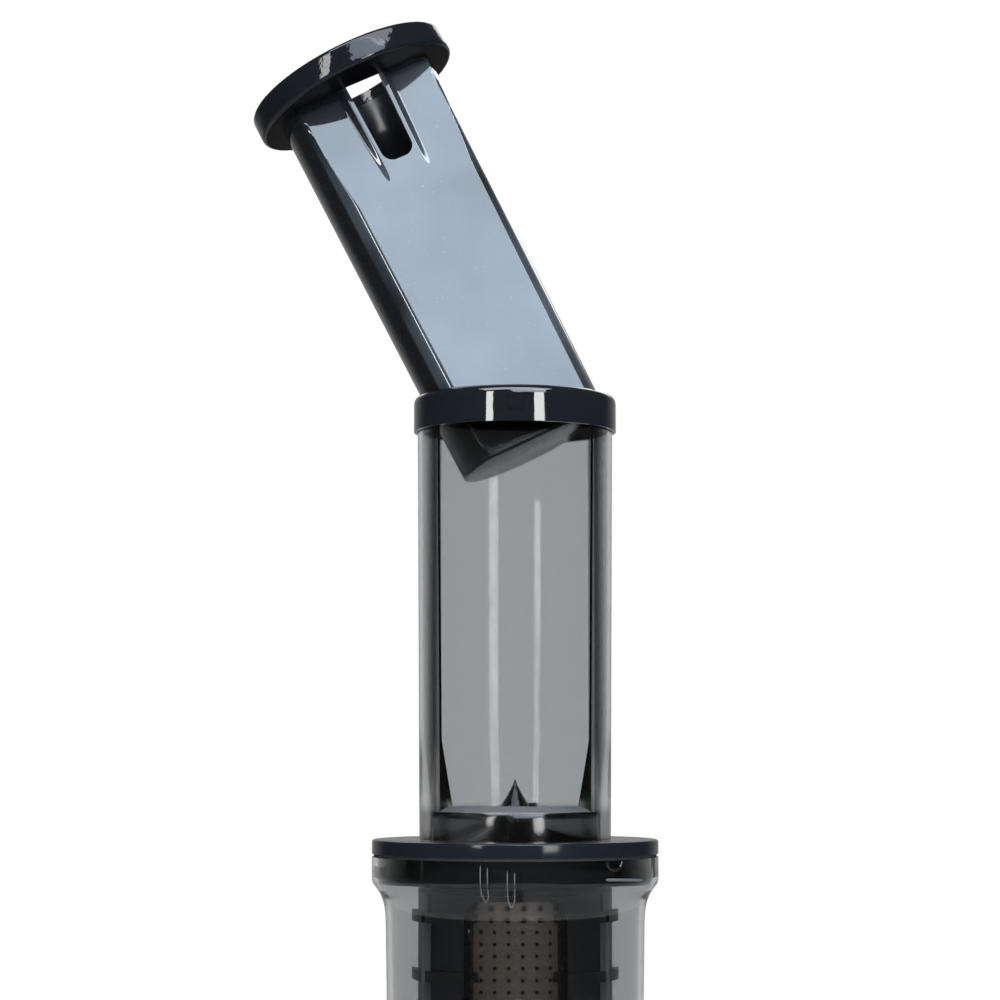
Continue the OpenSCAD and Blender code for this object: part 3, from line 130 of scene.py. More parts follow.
class Graph:
    """The node graph of one material, or of the world."""

    # The colour sockets of a Mix node: its two inputs and its result.
    FIRST, SECOND, MIXED = 6, 7, 2

    def __init__(self, tree: bpy.types.NodeTree) -> None:
        """Empties the tree.

        Args:
            tree: The node tree to fill.
        """
        self.tree = tree
        tree.nodes.clear()

    def node(self, kind: str, settings: dict[str, object], inputs: dict[str | int, object],
             output: str | int = 0) -> Value | None:
        """Adds a node, with its settings first and then its sockets.

        Args:
            kind: The node's type.
            settings: Attributes of the node, and "stops" for a colour ramp.
            inputs: Values, or results of other nodes, by socket name or number.
            output: The output socket that is returned.

        Returns:
            The chosen output, or None where the node has none.
        """
        made = self.tree.nodes.new(kind)
        for key, value in settings.items():
            if key == "stops":
                for number, (place, shade) in enumerate(value):
                    ramp = made.color_ramp.elements
                    stop = ramp[number] if number < len(ramp) else ramp.new(place)
                    stop.position, stop.color = place, (shade, shade, shade, 1)
            else:
                setattr(made, key, value)
        for key, value in inputs.items():
            if isinstance(value, Value):
                self.tree.links.new(value.socket, made.inputs[key])
            else:
                made.inputs[key].default_value = value
        return Value(self, made.outputs[output]) if len(made.outputs) else None

    def noise(self, scale: float, detail: float, stretch: Place = (1, 1, 1)) -> Value:
        """Adds noise on object coordinates.

        Args:
            scale: Features per metre.
            detail: Octaves.
            stretch: Scale along each axis.

        Returns:
            A value about one half.
        """
        mapped = self.node("ShaderNodeMapping", {}, {"Vector": self.place(), "Scale": stretch})
        return self.node("ShaderNodeTexNoise", {}, {"Vector": mapped, "Scale": scale, "Detail": detail}, "Fac")

    def place(self) -> Value:
        """Returns the object coordinates."""
        return self.node("ShaderNodeTexCoord", {}, {}, "Object")

    def axis(self, letter: str) -> Value:
        """Returns one of the object coordinates."""
        return self.node("ShaderNodeSeparateXYZ", {}, {0: self.place()}, letter)

    def ray(self, kind: str) -> Value:
        """Returns one for rays of a kind, such as Camera or Glossy, and zero for all others."""
        return self.node("ShaderNodeLightPath", {}, {}, f"Is {kind} Ray")

    def smooth(self, value: Value, start: float, end: float, low: float = 0.0, high: float = 1.0,
               ease: str = "SMOOTHSTEP") -> Value:
        """Leads from one level to another as a value grows.

        Args:
            value: What the level follows.
            start: The value up to which the first level holds.
            end: The value from which the second level holds.
            low: The first level.
            high: The second level.
            ease: The way between them.

        Returns:
            The level.
        """
        return self.node("ShaderNodeMapRange", {"clamp": True, "interpolation_type": ease},
                         {"Value": value, "From Min": start, "From Max": end, "To Min": low, "To Max": high},
                         "Result")

    def ramp(self, value: Value, stops: Marks) -> Value:
        """Returns the grey that a ramp gives a value.

        Args:
            value: The place on the ramp.
            stops: Place and grey of each stop.
        """
        return self.node("ShaderNodeValToRGB", {"stops": stops}, {0: value})

    def blend(self, share: Value, first: Colour, second: Colour) -> Value:
        """Returns a colour between two.

        Args:
            share: How much of the second colour there is.
            first: The first colour.
            second: The second colour.
        """
        return self.node("ShaderNodeMix", {"data_type": "RGBA"},
                         {0: share, self.FIRST: first + (1,), self.SECOND: second + (1,)}, self.MIXED)


@dataclass(frozen=True)
class Finish:
    """One finish of the product, which builds its own material."""

    COAT_ROUGHNESS = 0.03
    CLOUD_SCALE = 38
    CLOUD_DETAIL = 3
    SMEAR_SCALE = 55
    SMEAR_DETAIL = 4
    SMEAR_STOPS = ((0.42, 0.0), (0.72, 1.0))
    SWELL_SCALE = 45
    LENGTHWISE = (1, 1, 0.04)
    ROUNDWISE = (0.06, 0.06, 1)
    CAST_SHARE = 0.4

    slot: str
    colour: Colour
    roughness: float
    metallic: float = 0.0
    grain: Grain = Grain.SMOOTH
    grain_depth: float = 0.02 * MM
    grain_scale: float = 900.0
    drift: float = 0.06
    smudge: float = 0.06
    ior: float = 1.5
    coat: float = 0.0
    clear: float = 0.0
    label: str = ""

    def material(self) -> bpy.types.Material:
        """Makes the finish's material, unless it is there.

        Returns:
            The material.
        """
        name = "finish_" + (self.label or self.slot)
        found = bpy.data.materials.get(name)
        if found:
            return found
        made = bpy.data.materials.new(name)
        made.use_nodes = True
        graph = Graph(made.node_tree)
        shader = graph.node("ShaderNodeBsdfPrincipled", {}, {
            "Base Color": self._colour(graph), "Roughness": self._roughness(graph), "Normal": self._relief(graph),
            "Metallic": self.metallic, "IOR": self.ior, "Transmission Weight": self.clear,
            "Coat Weight": self.coat, "Coat Roughness": self.COAT_ROUGHNESS})
        graph.node("ShaderNodeOutputMaterial", {}, {"Surface": shader})
        return made

    def _colour(self, graph: Graph) -> Value:
        """Varies the colour a little over the surface.

        Args:
            graph: The material's graph.

        Returns:
            The colour.
        """
        low = tuple(max(0.0, c * (1 - self.drift)) for c in self.colour)
        high = tuple(min(1.0, c * (1 + self.drift)) for c in self.colour)
        return graph.blend(graph.noise(self.CLOUD_SCALE, self.CLOUD_DETAIL), low, high)

    def _roughness(self, graph: Graph) -> Value:
        """Returns the roughness, with the soft smudges that handling leaves."""
        smear = graph.ramp(graph.noise(self.SMEAR_SCALE, self.SMEAR_DETAIL), self.SMEAR_STOPS)
        return smear * self.smudge + self.roughness

    def _relief(self, graph: Graph) -> Value:
        """Returns the normal of the surface with its grain."""
        return graph.node("ShaderNodeBump", {}, {"Height": self._height(graph), "Distance": self.grain_depth,
                                                 "Strength": 1.0}, "Normal")

    def _height(self, graph: Graph) -> Value:
        """Works the finish's grain.

        Args:
            graph: The material's graph.

        Returns:
            The grain's height.
        """
        if self.grain is Grain.SMOOTH:
            return graph.noise(self.SWELL_SCALE, detail=2)
        if self.grain is Grain.BRUSHED:
            return graph.noise(self.grain_scale, detail=3, stretch=self.LENGTHWISE)
        if self.grain is Grain.TURNED:
            return graph.noise(self.grain_scale, detail=2, stretch=self.ROUNDWISE)
        if self.grain is Grain.WOUND:
            return graph.node("ShaderNodeTexWave", {"bands_direction": "Z"},
                              {"Vector": graph.place(), "Scale": self.grain_scale}, "Fac")
        if self.grain is Grain.CAST:
            return graph.noise(self.grain_scale * self.CAST_SHARE, detail=5)
        return graph.noise(self.grain_scale, detail=4)


@dataclass(frozen=True)
class ChuteSmoke(Finish):
    """Smoky plastic with painted shade: a dark band where the chute's flat window meets its round wall, and a darker
    drum.
    """

    painted_shade_bands: tuple[tuple[float, float], ...] = ()
    drum: tuple[float, float] = (0.0, 0.0)
    # Painted shade: how far the drum's colour is darkened.
    drum_shade: float = 0.5
    drum_rough: float = 0.16
    border: float = 1 * MM
    span: float = 50 * MM

    def _roughness(self, graph: Graph) -> Value:
        """Leaves the drum a little duller than the chute.

        Args:
            graph: The material's graph.

        Returns:
            The roughness.
        """
        top = self.drum[1]
        low = graph.smooth(graph.axis("Z"), top + self.border, top, ease="LINEAR")
        smear = graph.noise(self.SMEAR_SCALE, self.SMEAR_DETAIL)
        return low * self.drum_rough + smear * self.smudge + self.roughness

    def _colour(self, graph: Graph) -> Value:
        """Paints shade into the plastic: a dark band by its distance from the middle, and a darker drum below its top.

        Args:
            graph: The material's graph.

        Returns:
            The colour.
        """
        # Painted shade: a dark band where the flat window meets the round wall, by distance from the middle.
        shade = graph.ramp(abs(graph.axis("X")) * (1 / self.span), self.painted_shade_bands)
        # Painted shade: the drum below its top is darker, and the darker of band and drum is kept.
        low = graph.smooth(graph.axis("Z"), self.drum[1], self.drum[0])
        depth = shade.smaller(low * (self.drum_shade - 1) + 1)
        return graph.node("ShaderNodeMix", {"data_type": "RGBA", "blend_type": "MULTIPLY"},
                          {0: 1.0, graph.FIRST: depth, graph.SECOND: self.colour + (1,)}, graph.MIXED)


@dataclass(frozen=True)
class GlossWithPaintedSheen(Finish):
    """Gloss black whose flat face carries painted sheen: pale bluish clouds with fine specks, standing in for the
    face's reflection.
    """

    middle: Place = (9.3 * MM, 1.2 * MM, 469.6 * MM)
    facing: Place = (0.1399, -0.9819, 0.1276)
    reach: tuple[float, float] = (16.5 * MM, 18.5 * MM)
    # Colour of the painted sheen on the flat face.
    painted_sheen: Colour = (0.05, 0.06, 0.072)
    cloud_scale: float = 16
    cloud_detail: float = 2.5
    cloud_stops: Marks = ((0.36, 0.0), (0.68, 1.0))
    speck_scale: float = 700
    speck_stops: Marks = ((0.79, 0.0), (0.82, 1.0))
    speck_share: float = 0.5

    def _colour(self, graph: Graph) -> Value:
        """Paints sheen into the colour of the flat face alone: pale bluish clouds and specks, a painted reflection.

        Args:
            graph: The material's graph.

        Returns:
            The colour.
        """
        offset = graph.node("ShaderNodeVectorMath", {"operation": "SUBTRACT"}, {0: graph.place(), 1: self.middle})
        front = graph.node("ShaderNodeVectorMath", {"operation": "DOT_PRODUCT"}, {0: offset, 1: self.facing}, "Value")
        sheen_mask = graph.smooth(front, *self.reach)
        clouds = graph.ramp(graph.noise(self.cloud_scale, self.cloud_detail), self.cloud_stops)
        specks = graph.ramp(graph.noise(self.speck_scale, detail=0), self.speck_stops)
        # Painted sheen: clouds and specks on the flat face, mixed toward the pale bluish sheen colour.
        return graph.blend(sheen_mask * (clouds + specks * self.speck_share), self.colour, self.painted_sheen)


class Finishes:
    """Every finish of the juicer."""

    BLACK = Finish("black_gloss", (0.006, 0.007, 0.009), 0.035, ior=1.55, coat=0.1, grain_depth=0.3 * MM, drift=0.2,
                   smudge=0.05)
    # The pusher's gloss, with painted sheen on its flat face.
    PAINTED_SHEEN_GLOSS = GlossWithPaintedSheen("black_gloss", (0.006, 0.007, 0.009), 0.035, ior=1.6, coat=0.3, grain_depth=0.1 * MM,
                       label="pusher_gloss_painted_sheen")
    INNER = Finish("black_gloss", (0.006, 0.007, 0.009), 0.16, ior=1.35, grain_depth=0.9 * MM, label="inner_black")
    # The drum's roof: a darker, duller copy of the smoky plastic, painted shade where the roof would catch a bright
    # glint.
    ROOF_PAINTED_SHADE = Finish("smoke_clear", (0.12, 0.125, 0.13), 0.6, ior=1.3, clear=0.6, label="drum_roof")
    CAP = Finish("black_gloss", (0.006, 0.007, 0.009), 0.05, ior=1.38, grain=Grain.MOULDED, grain_scale=140.0,
                 grain_depth=0.35 * MM, label="cap_gloss")
    # The cap's underside: a darker, duller copy of the black, painted shade.
    UNDER_PAINTED_SHADE = Finish("black_gloss", (0.003, 0.003, 0.004), 0.45, ior=1.12, label="cap_under_painted_shade")
    # The lid's black is lifted a little and made bluish: painted reflection of a dim sheen on the flange.
    LID = Finish("black_gloss", (0.007, 0.009, 0.012), 0.1, ior=1.3, grain_depth=0.3 * MM, label="lid_gloss")
    BASE = Finish("base_black", (0.012, 0.013, 0.015), 0.12, ior=1.5, coat=0.2, drift=0.15)
    DARK = Finish("dark_plastic", (0.024, 0.025, 0.027), 0.38, grain=Grain.MOULDED, drift=0.12)
    SMOKE = Finish("smoke_clear", (0.53, 0.54, 0.545), 0.02, ior=1.45, clear=1.0, drift=0.02, smudge=0.02,
                   grain_depth=0.01 * MM)
    RUBBER = Finish("rubber_black", (0.018, 0.018, 0.018), 0.75, grain=Grain.MOULDED, drift=0.15)
    SILICONE = Finish("silicone_grey", (0.3, 0.31, 0.32), 0.5, grain=Grain.MOULDED)
    STEEL = Finish("steel", (0.56, 0.56, 0.57), 0.28, metallic=1.0, grain=Grain.BRUSHED, grain_depth=0.01 * MM)
    BRIGHT = Finish("steel_bright", (0.68, 0.68, 0.69), 0.12, metallic=1.0, grain=Grain.TURNED, grain_depth=0.005 * MM)
    CAN = Finish("can_steel", (0.22, 0.23, 0.25), 0.42, metallic=0.9, grain=Grain.BRUSHED)
    COPPER = Finish("copper_core", (0.42, 0.2, 0.1), 0.35, metallic=0.8, grain=Grain.WOUND, grain_scale=600.0,
                    grain_depth=0.3 * MM)
    BRASS = Finish("brass", (0.56, 0.42, 0.18), 0.22, metallic=1.0, grain=Grain.TURNED)
    CAST = Finish("die_cast", (0.42, 0.43, 0.45), 0.48, metallic=0.9, grain=Grain.CAST, grain_depth=0.08 * MM)
    NYLON = Finish("nylon", (0.62, 0.58, 0.47), 0.42, grain=Grain.MOULDED)
    BOARD = Finish("board", (0.02, 0.12, 0.05), 0.4, grain=Grain.MOULDED, drift=0.3)
    KNOB = Finish("knob_silver", (0.5, 0.51, 0.53), 0.24, metallic=1.0, grain=Grain.TURNED)
    # The strainer steel's warm beige tint is painted reflection: plain steel tinted like the warm light it mirrors.
    WALL = Finish("steel", (0.6, 0.51, 0.44), 0.09, metallic=1.0, grain=Grain.BRUSHED, grain_depth=0.002 * MM,
                  label="strainer_steel")
    RIB = Finish("smoke_clear", (0.24, 0.25, 0.26), 0.2, ior=1.45, clear=0.6, label="raised_mark")
    # The chute's smoke carries painted shade: a dark band beside the window and a darker drum.
    CHUTE = ChuteSmoke("smoke_clear", (0.57, 0.585, 0.595), 0.05, ior=1.45, clear=1.0, smudge=0.02,
                       grain_depth=0.01 * MM, label="chute_smoke_painted_shade",
                       painted_shade_bands=((0.0, 1.0), (0.672, 1.0), (0.682, 1.0), (0.7, 0.12), (0.745, 0.3), (0.8, 0.8),
                              (0.86, 1.0), (0.9, 1.0)), drum=(0.304, 0.309), drum_shade=0.4, drum_rough=0.06)

    @classmethod
    def of_slot(cls, slot: str) -> Finish:
        """Returns the finish of one of the record's material slots."""
        return next(f for f in vars(cls).values() if isinstance(f, Finish) and f.slot == slot and not f.label)


def shown(name: str, data: bpy.types.ID) -> bpy.types.Object:
    """Makes an object and shows it in the scene.

    Args:
        name: The object's name.
        data: Its mesh, lamp or camera.

    Returns:
        The new object.
    """
    made = bpy.data.objects.new(name, data)
    bpy.context.scene.collection.objects.link(made)
    return made


class Forms:
    """Meshes that the sub-assemblies share."""

    MERGE = 2e-6
    SEAM = 5e-6
    TINY = 1e-6

    @staticmethod
    def data(name: str, mesh: bmesh.types.BMesh) -> bpy.types.Mesh:
        """Turns a working mesh into a finished one.

        Args:
            name: The mesh's name.
            mesh: The working mesh, which is freed.

        Returns:
            The finished mesh.
        """
        made = bpy.data.meshes.new(name)
        mesh.to_mesh(made)
        mesh.free()
        return made

    @classmethod
    def of_node(cls, node: str) -> bmesh.types.BMesh:
        """Copies a CAD node's mesh and merges its corners.

        Args:
            node: The node's name.

        Returns:
            The copy.
        """
        mesh = bmesh.new()
        mesh.from_mesh(frame["nodes"][node].data)
        bmesh.ops.remove_doubles(mesh, verts=mesh.verts, dist=cls.MERGE)
        bmesh.ops.dissolve_degenerate(mesh, dist=cls.TINY, edges=mesh.edges)
        return mesh

    @staticmethod
    def push(mesh: bmesh.types.BMesh, face: bmesh.types.BMFace, way: Vector) -> None:
        """Pushes a face out into a solid.

        Args:
            mesh: The face's mesh.
            face: The face to push.
            way: How far, and which way.
        """
        pushed = bmesh.ops.extrude_face_region(mesh, geom=[face])
        bmesh.ops.translate(mesh, vec=way, verts=[v for v in pushed["geom"] if isinstance(v, bmesh.types.BMVert)])

    @staticmethod
    def wrap(mesh: bmesh.types.BMesh, radius: float) -> None:
        """Rolls a flat mesh round the Z axis.

        Args:
            mesh: A mesh whose X runs round, from the front, and whose Y is its height inward.
            radius: The radius at which X is true to length.
        """
        for vert in mesh.verts:
            turn, reach = vert.co.x / radius, radius - vert.co.y
            vert.co.x, vert.co.y = reach * math.sin(turn), -reach * math.cos(turn)

    @staticmethod
    def perforated(outer: float, inner: float, rows: list[tuple[float, float, float]], columns: int,
                   sides: int = 12) -> bmesh.types.BMesh:
        """Makes a closed ring wall with rows of round holes.

        Args:
            outer: Its outer radius.
            inner: Its inner radius.
            rows: Lowest height, highest height and hole radius of each row, from the foot up.
            columns: Holes round the wall.
            sides: Corners of one hole, a multiple of four.

        Returns:
            The wall, centred on the Z axis.
        """
        mesh = bmesh.new()
        pitch = 2 * math.pi * outer / columns
        depths = (0.0, outer - inner)
        for low, high, hole in rows:
            middle, tall = (low + high) / 2, (high - low) / 2
            for column in range(columns):
                centre = (column + 0.5) * pitch
                rings = []
                for depth in depths:
                    frame_ring, hole_ring = [], []
                    for side in range(sides):
                        turn = 2 * math.pi * (side + 0.5) / sides
                        x, z = math.cos(turn), math.sin(turn)
                        stretch = 1 / max(abs(x), abs(z))
                        edge_x, edge_z = x * stretch * pitch / 2, z * stretch * tall
                        frame_ring.append(mesh.verts.new((centre + edge_x, depth, middle + edge_z)))
                        reach = hole * outer / (outer - depth)
                        hole_ring.append(mesh.verts.new((centre + x * reach, depth, middle + z * hole)))
                    rings.append((frame_ring, hole_ring))
                (front_frame, front_hole), (back_frame, back_hole) = rings
                for a in range(sides):
                    b = (a + 1) % sides
                    mesh.faces.new((front_frame[a], front_frame[b], front_hole[b], front_hole[a]))
                    mesh.faces.new((back_hole[a], back_hole[b], back_frame[b], back_frame[a]))
                    mesh.faces.new((front_hole[a], front_hole[b], back_hole[b], back_hole[a]))
        Forms.wrap(mesh, outer)
        bmesh.ops.remove_doubles(mesh, verts=mesh.verts, dist=Forms.SEAM)
        return mesh

    @staticmethod
    def bar(points: list[Vector], radius: float, sides: int = 10, taper: float = 0.5) -> bmesh.types.BMesh:
        """Makes a closed round bar along a line.

        Args:
            points: The line's points, in the row frame.
            radius: The bar's radius.
            sides: Facets round it.
            taper: The radius at its ends, as a share.

        Returns:
            The bar.
        """
        mesh = bmesh.new()
        rings = []
        for k, point in enumerate(points):
            along = (points[min(k + 1, len(points) - 1)] - points[max(k - 1, 0)]).normalized()
            side = along.cross(Vector((point.x, point.y, 0))).normalized()
            up = side.cross(along)
            size = radius * (taper if k in (0, len(points) - 1) else 1.0)
            rings.append([mesh.verts.new(point + (side * math.cos(a) + up * math.sin(a)) * size)
                          for a in (math.tau * n / sides for n in range(sides))])
        for low, high in zip(rings, rings[1:]):
            for a in range(sides):
                b = (a + 1) % sides
                mesh.faces.new((low[a], low[b], high[b], high[a]))
        mesh.faces.new(rings[0][::-1])
        mesh.faces.new(rings[-1])
        bmesh.ops.recalc_face_normals(mesh, faces=mesh.faces)
        return mesh

    @classmethod
    def close_rims(cls, mesh: bmesh.types.BMesh) -> None:
        """Bridges the open rims of a ring wall and turns every face outward.

        Args:
            mesh: The wall, open at its foot and at its top.
        """
        for pick in (min, max):
            level = pick(vert.co.z for vert in mesh.verts)
            rim = [e for e in mesh.edges if e.is_boundary and all(abs(v.co.z - level) < cls.TINY for v in e.verts)]
            bmesh.ops.bridge_loops(mesh, edges=rim)
        bmesh.ops.recalc_face_normals(mesh, faces=mesh.faces)


@dataclass
class Assembly:
    """A sub-assembly: the CAD nodes that keep their mesh and the ones that get rounded edges."""

    SHARP_ANGLE = 32.0
    FLAT_ANGLE = 0.4

    body: str
    kept: tuple[str, ...] = ()
    softened: dict[str, float] = field(default_factory=dict)
    finishes: dict[str, Finish] = field(default_factory=dict)

    def build(self) -> None:
        """Dresses the nodes and adds the sub-assembly's own pieces."""
        for node in self.kept:
            self.dress(frame["nodes"][node], self.finish_of(node))
            LOG.info("kept %s", node)
        for node, edge in self.softened.items():
            self.soften(node, edge)
        self.details()

    def details(self) -> None:
        """Adds pieces that the frame doesn't hold."""

    def finish_of(self, node: str) -> Finish:
        """Finds the finish of a node.

        Args:
            node: The node's name.

        Returns:
            The node's own finish, or the one that the record gives it.
        """
        if node in self.finishes:
            return self.finishes[node]
        rows = frame["record"]["subparts"]
        return Finishes.of_slot(next(r["material_slot"] for r in rows if r["node"] == node))

    @staticmethod
    def dress(piece: bpy.types.Object, finish: Finish) -> None:
        """Gives a piece one finish.

        Args:
            piece: The object to dress.
            finish: Its finish.
        """
        if piece.data.materials:
            piece.data.materials.clear()
        piece.data.materials.append(finish.material())

    @staticmethod
    def redress(piece: bpy.types.Object, finish: Finish, chosen: Callable[[bpy.types.MeshPolygon], bool]) -> None:
        """Gives some faces of a piece a second finish.

        Args:
            piece: The object, which has one finish.
            finish: The second finish.
            chosen: Says which faces get it.
        """
        piece.data.materials.append(finish.material())
        for face in piece.data.polygons:
            face.material_index = int(chosen(face))

    def add(self, name: str, mesh: bmesh.types.BMesh, finish: Finish, replaces: tuple[str, ...] = (),
            ) -> bpy.types.Object:
        """Makes a piece of a finished mesh and lets it ride on this body.

        Args:
            name: The piece's name.
            mesh: Its mesh, in the row frame, which is freed.
            finish: Its finish.
            replaces: The CAD nodes that it stands for.

        Returns:
            The new object.
        """
        limit = math.radians(self.SHARP_ANGLE)
        for face in mesh.faces:
            face.smooth = True
        for edge in mesh.edges:
            edge.smooth = len(edge.link_faces) == 2 and edge.calc_face_angle(math.pi) < limit
        piece = shown(name, Forms.data(name, mesh))
        self.dress(piece, finish)
        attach(piece, self.body)
        if replaces:
            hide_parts(*replaces)
        LOG.info("made %s on %s", name, self.body)
        return piece

    def soften(self, node: str, edge: float) -> bpy.types.Object:
        """Copies a CAD node, merges its triangles and rounds its edges.

        Args:
            node: The node's name.
            edge: Width of the rounding, in metres, or zero.

        Returns:
            The piece that stands for the node.
        """
        mesh = Forms.of_node(node)
        bmesh.ops.dissolve_limit(mesh, angle_limit=math.radians(self.FLAT_ANGLE), use_dissolve_boundaries=False,
                                 verts=mesh.verts, edges=mesh.edges)
        piece = self.add(node + "_shell", mesh, self.finish_of(node), (node,))
        if edge:
            bevel = piece.modifiers.new("edges", "BEVEL")
            bevel.width, bevel.segments, bevel.limit_method = edge, 2, "ANGLE"
            bevel.angle_limit = math.radians(self.SHARP_ANGLE)
            bevel.harden_normals = True
        return piece


@dataclass
class BowlSet(Assembly):
    """The bowl with its strainer and the marks on its outside.

    Each mark's line is given as degrees from the front and height in metres.
    """

    sheet: float = 0.6 * MM
    large: float = 1.32 * MM
    large_columns: int = 34
    large_rows: int = 3
    small: float = 0.88 * MM
    small_columns: int = 40
    row: float = 5.14 * MM
    top_row: float = 269.6 * MM
    mark_r: float = 0.6 * MM
    stop: Marks = ((37.6, 0.285), (37.7, 0.2835), (39.1, 0.2815), (41.8, 0.281), (44.5, 0.2822), (45.7, 0.285))
    level: Marks = ((37.1, 0.2772), (46.0, 0.2769), (59.0, 0.2763))
    rib_r: float = 0.27 * MM
    rib: Marks = ((-13.7, 0.2835), (-13.7, 0.2713), (-12.3, 0.2675), (-10.9, 0.2705), (-10.9, 0.2827))
    rib_step: float = 10.4
    rib_drop: float = 2 * MM
    mark_steps: int = 8
    mark_rounds: int = 3
    outside: float = 100 * MM

    def details(self) -> None:
        """Adds the strainer's finely pierced wall in place of the plainer one, and the bowl's marks."""
        self.add("strainer_wall", self.wall_mesh(), Finishes.WALL, ("strainer_mesh",))
        self.raise_mark("lock_stop", self.stop, self.mark_r, Finishes.BLACK)
        self.raise_mark("level_line", self.level, self.mark_r, Finishes.RIB)
        self.raise_mark("rib_left", self.rib, self.rib_r, Finishes.RIB)
        right = tuple((angle + self.rib_step, height - self.rib_drop) for angle, height in self.rib)
        self.raise_mark("rib_right", right, self.rib_r, Finishes.RIB)

    def wall_mesh(self) -> bmesh.types.BMesh:
        """Makes the strainer's wall, with rows of large holes over rows of small ones.

        Returns:
            The wall.
        """
        low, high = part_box("strainer_mesh")
        radius, foot, top = high[0], low[2], high[2]
        inner = radius - self.sheet
        split = self.top_row - (self.large_rows - 0.5) * self.row
        count = int((split - foot) / self.row)
        small = [(split - (k + 1) * self.row, split - k * self.row, self.small) for k in range(count)][::-1]
        small[0] = (foot, small[0][1], self.small)
        large = [(split + k * self.row, min(top, split + (k + 1) * self.row), self.large)
                 for k in range(self.large_rows)]
        LOG.info("strainer wall to %.4f of %.4f", large[-1][1], top)
        wall = Forms.perforated(radius, inner, small, self.small_columns)
        Forms.close_rims(wall)
        upper = Forms.perforated(radius, inner, large, self.large_columns)
        Forms.close_rims(upper)
        passing = Forms.data("strainer_upper", upper)
        wall.from_mesh(passing)
        bpy.data.meshes.remove(passing)
        return wall

    def raise_mark(self, name: str, line: Marks, radius: float, finish: Finish) -> None:
        """Adds a half-round mark that stands on the bowl's outside.

        Args:
            name: The piece's name.
            line: Its line.
            radius: Its radius.
            finish: Its finish.
        """
        body = bmesh.new()
        body.from_mesh(frame["nodes"]["bowl"].data)
        wall = BVHTree.FromBMesh(body)
        body.free()
        points = []
        for (angle, height), (next_angle, next_height) in zip(line, line[1:]):
            for k in range(self.mark_steps):
                points.append(self.on_wall(wall, angle + (next_angle - angle) * k / self.mark_steps,
                                           height + (next_height - height) * k / self.mark_steps))
        points.append(self.on_wall(wall, *line[-1]))
        for _ in range(self.mark_rounds):
            points[1:-1] = [(a + b * 2 + c) / 4 for a, b, c in zip(points, points[1:], points[2:])]
        self.add(name, Forms.bar(points, radius), finish)

    def on_wall(self, wall: BVHTree, degrees: float, height: float) -> Vector:
        """Finds a point of the bowl's outside.

        Args:
            wall: The bowl's faces.
            degrees: The point's angle from the front.
            height: Its height.

        Returns:
            The point.
        """
        angle = math.radians(degrees)
        out = Vector((math.sin(angle), -math.cos(angle), 0))
        return wall.ray_cast(out * self.outside + Vector((0, 0, height)), -out)[0]


def carved(name: str, body: bmesh.types.BMesh, cutter: bmesh.types.BMesh, finishes: tuple[Finish, ...]
           ) -> bmesh.types.BMesh:
    """Cuts one closed mesh out of another.

    Args:
        name: A name for the passing objects.
        body: The mesh to cut, which is freed.
        cutter: The mesh to take away, which is freed.
        finishes: The finishes whose order the faces' numbers follow.

    Returns:
        What is left of the body.
    """
    halves = []
    for part, mesh in (("body", body), ("cutter", cutter)):
        data = Forms.data(f"{name}_{part}", mesh)
        for finish in finishes:
            data.materials.append(finish.material())
        halves.append(shown(data.name, data))
    raw, tool = halves
    cut = raw.modifiers.new("cut", "BOOLEAN")
    cut.operation, cut.solver, cut.object = "DIFFERENCE", "EXACT", tool
    bpy.context.view_layer.update()
    done = bmesh.new()
    done.from_mesh(raw.evaluated_get(bpy.context.evaluated_depsgraph_get()).to_mesh())
    for half in halves:
        data = half.data
        bpy.data.objects.remove(half)
        bpy.data.meshes.remove(data)
    return done


@dataclass
class BrushSet(Assembly):
    """The brush: its cage and its wiper blades."""

    half_w: float = 22.3 * MM
    top: float = 267.6 * MM
    raise_from: float = 266 * MM
    rise: float = 3.4 * MM
    foot: float = 197 * MM
    bend: float = 8 * MM
    windows: int = 3
    cut_from: float = 1.2
    cut_depth: float = 0.75

    def details(self) -> None:
        """Makes the cage with its wide arched windows."""
        cage = Forms.of_node("brush_frame")
        for vert in cage.verts:
            if vert.co.z > self.raise_from:
                vert.co.z += self.rise
        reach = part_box("brush_frame")[1][0]
        cutter = bmesh.new()
        for window in range(self.windows):
            turn = Matrix.Rotation(2 * math.pi * window / self.windows, 4, "Z")
            side = [(self.half_w, self.foot)]
            side += [(self.half_w - self.bend + self.bend * math.cos(a), self.top - self.bend + self.bend * math.sin(a))
                     for a in (math.pi / 2 * k / ARC_STEPS for k in range(ARC_STEPS + 1))]
            points = side + [(-x, z) for x, z in side[::-1]]
            near = -reach * self.cut_from
            face = cutter.faces.new([cutter.verts.new(turn @ Vector((x, near, z))) for x, z in points])
            Forms.push(cutter, face, turn.to_3x3() @ Vector((0, reach * self.cut_depth, 0)))
        bmesh.ops.recalc_face_normals(cutter, faces=cutter.faces)
        finish = self.finish_of("brush_frame")
        self.add("brush_cage", carved("brush", cage, cutter, (finish,)), finish, ("brush_frame",))


@dataclass
class LidSet(Assembly):
    """The lid with its chute, collar and drum."""

    roof: tuple[float, float] = (304 * MM, 309.5 * MM)
    roof_rise: float = 0.6

    def soften(self, node: str, edge: float) -> bpy.types.Object:
        """Rounds a node, and gives the top of the chute's drum a darker, duller copy of the smoke: painted shade.

        Args:
            node: The node's name.
            edge: Width of the rounding, in metres, or zero.

        Returns:
            The piece that stands for the node.
        """
        piece = super().soften(node, edge)
        if node == "chute":
            low, high = self.roof
            self.redress(piece, Finishes.ROOF_PAINTED_SHADE,
                         lambda face: face.normal.z > self.roof_rise and low < face.center.z < high)
        return piece


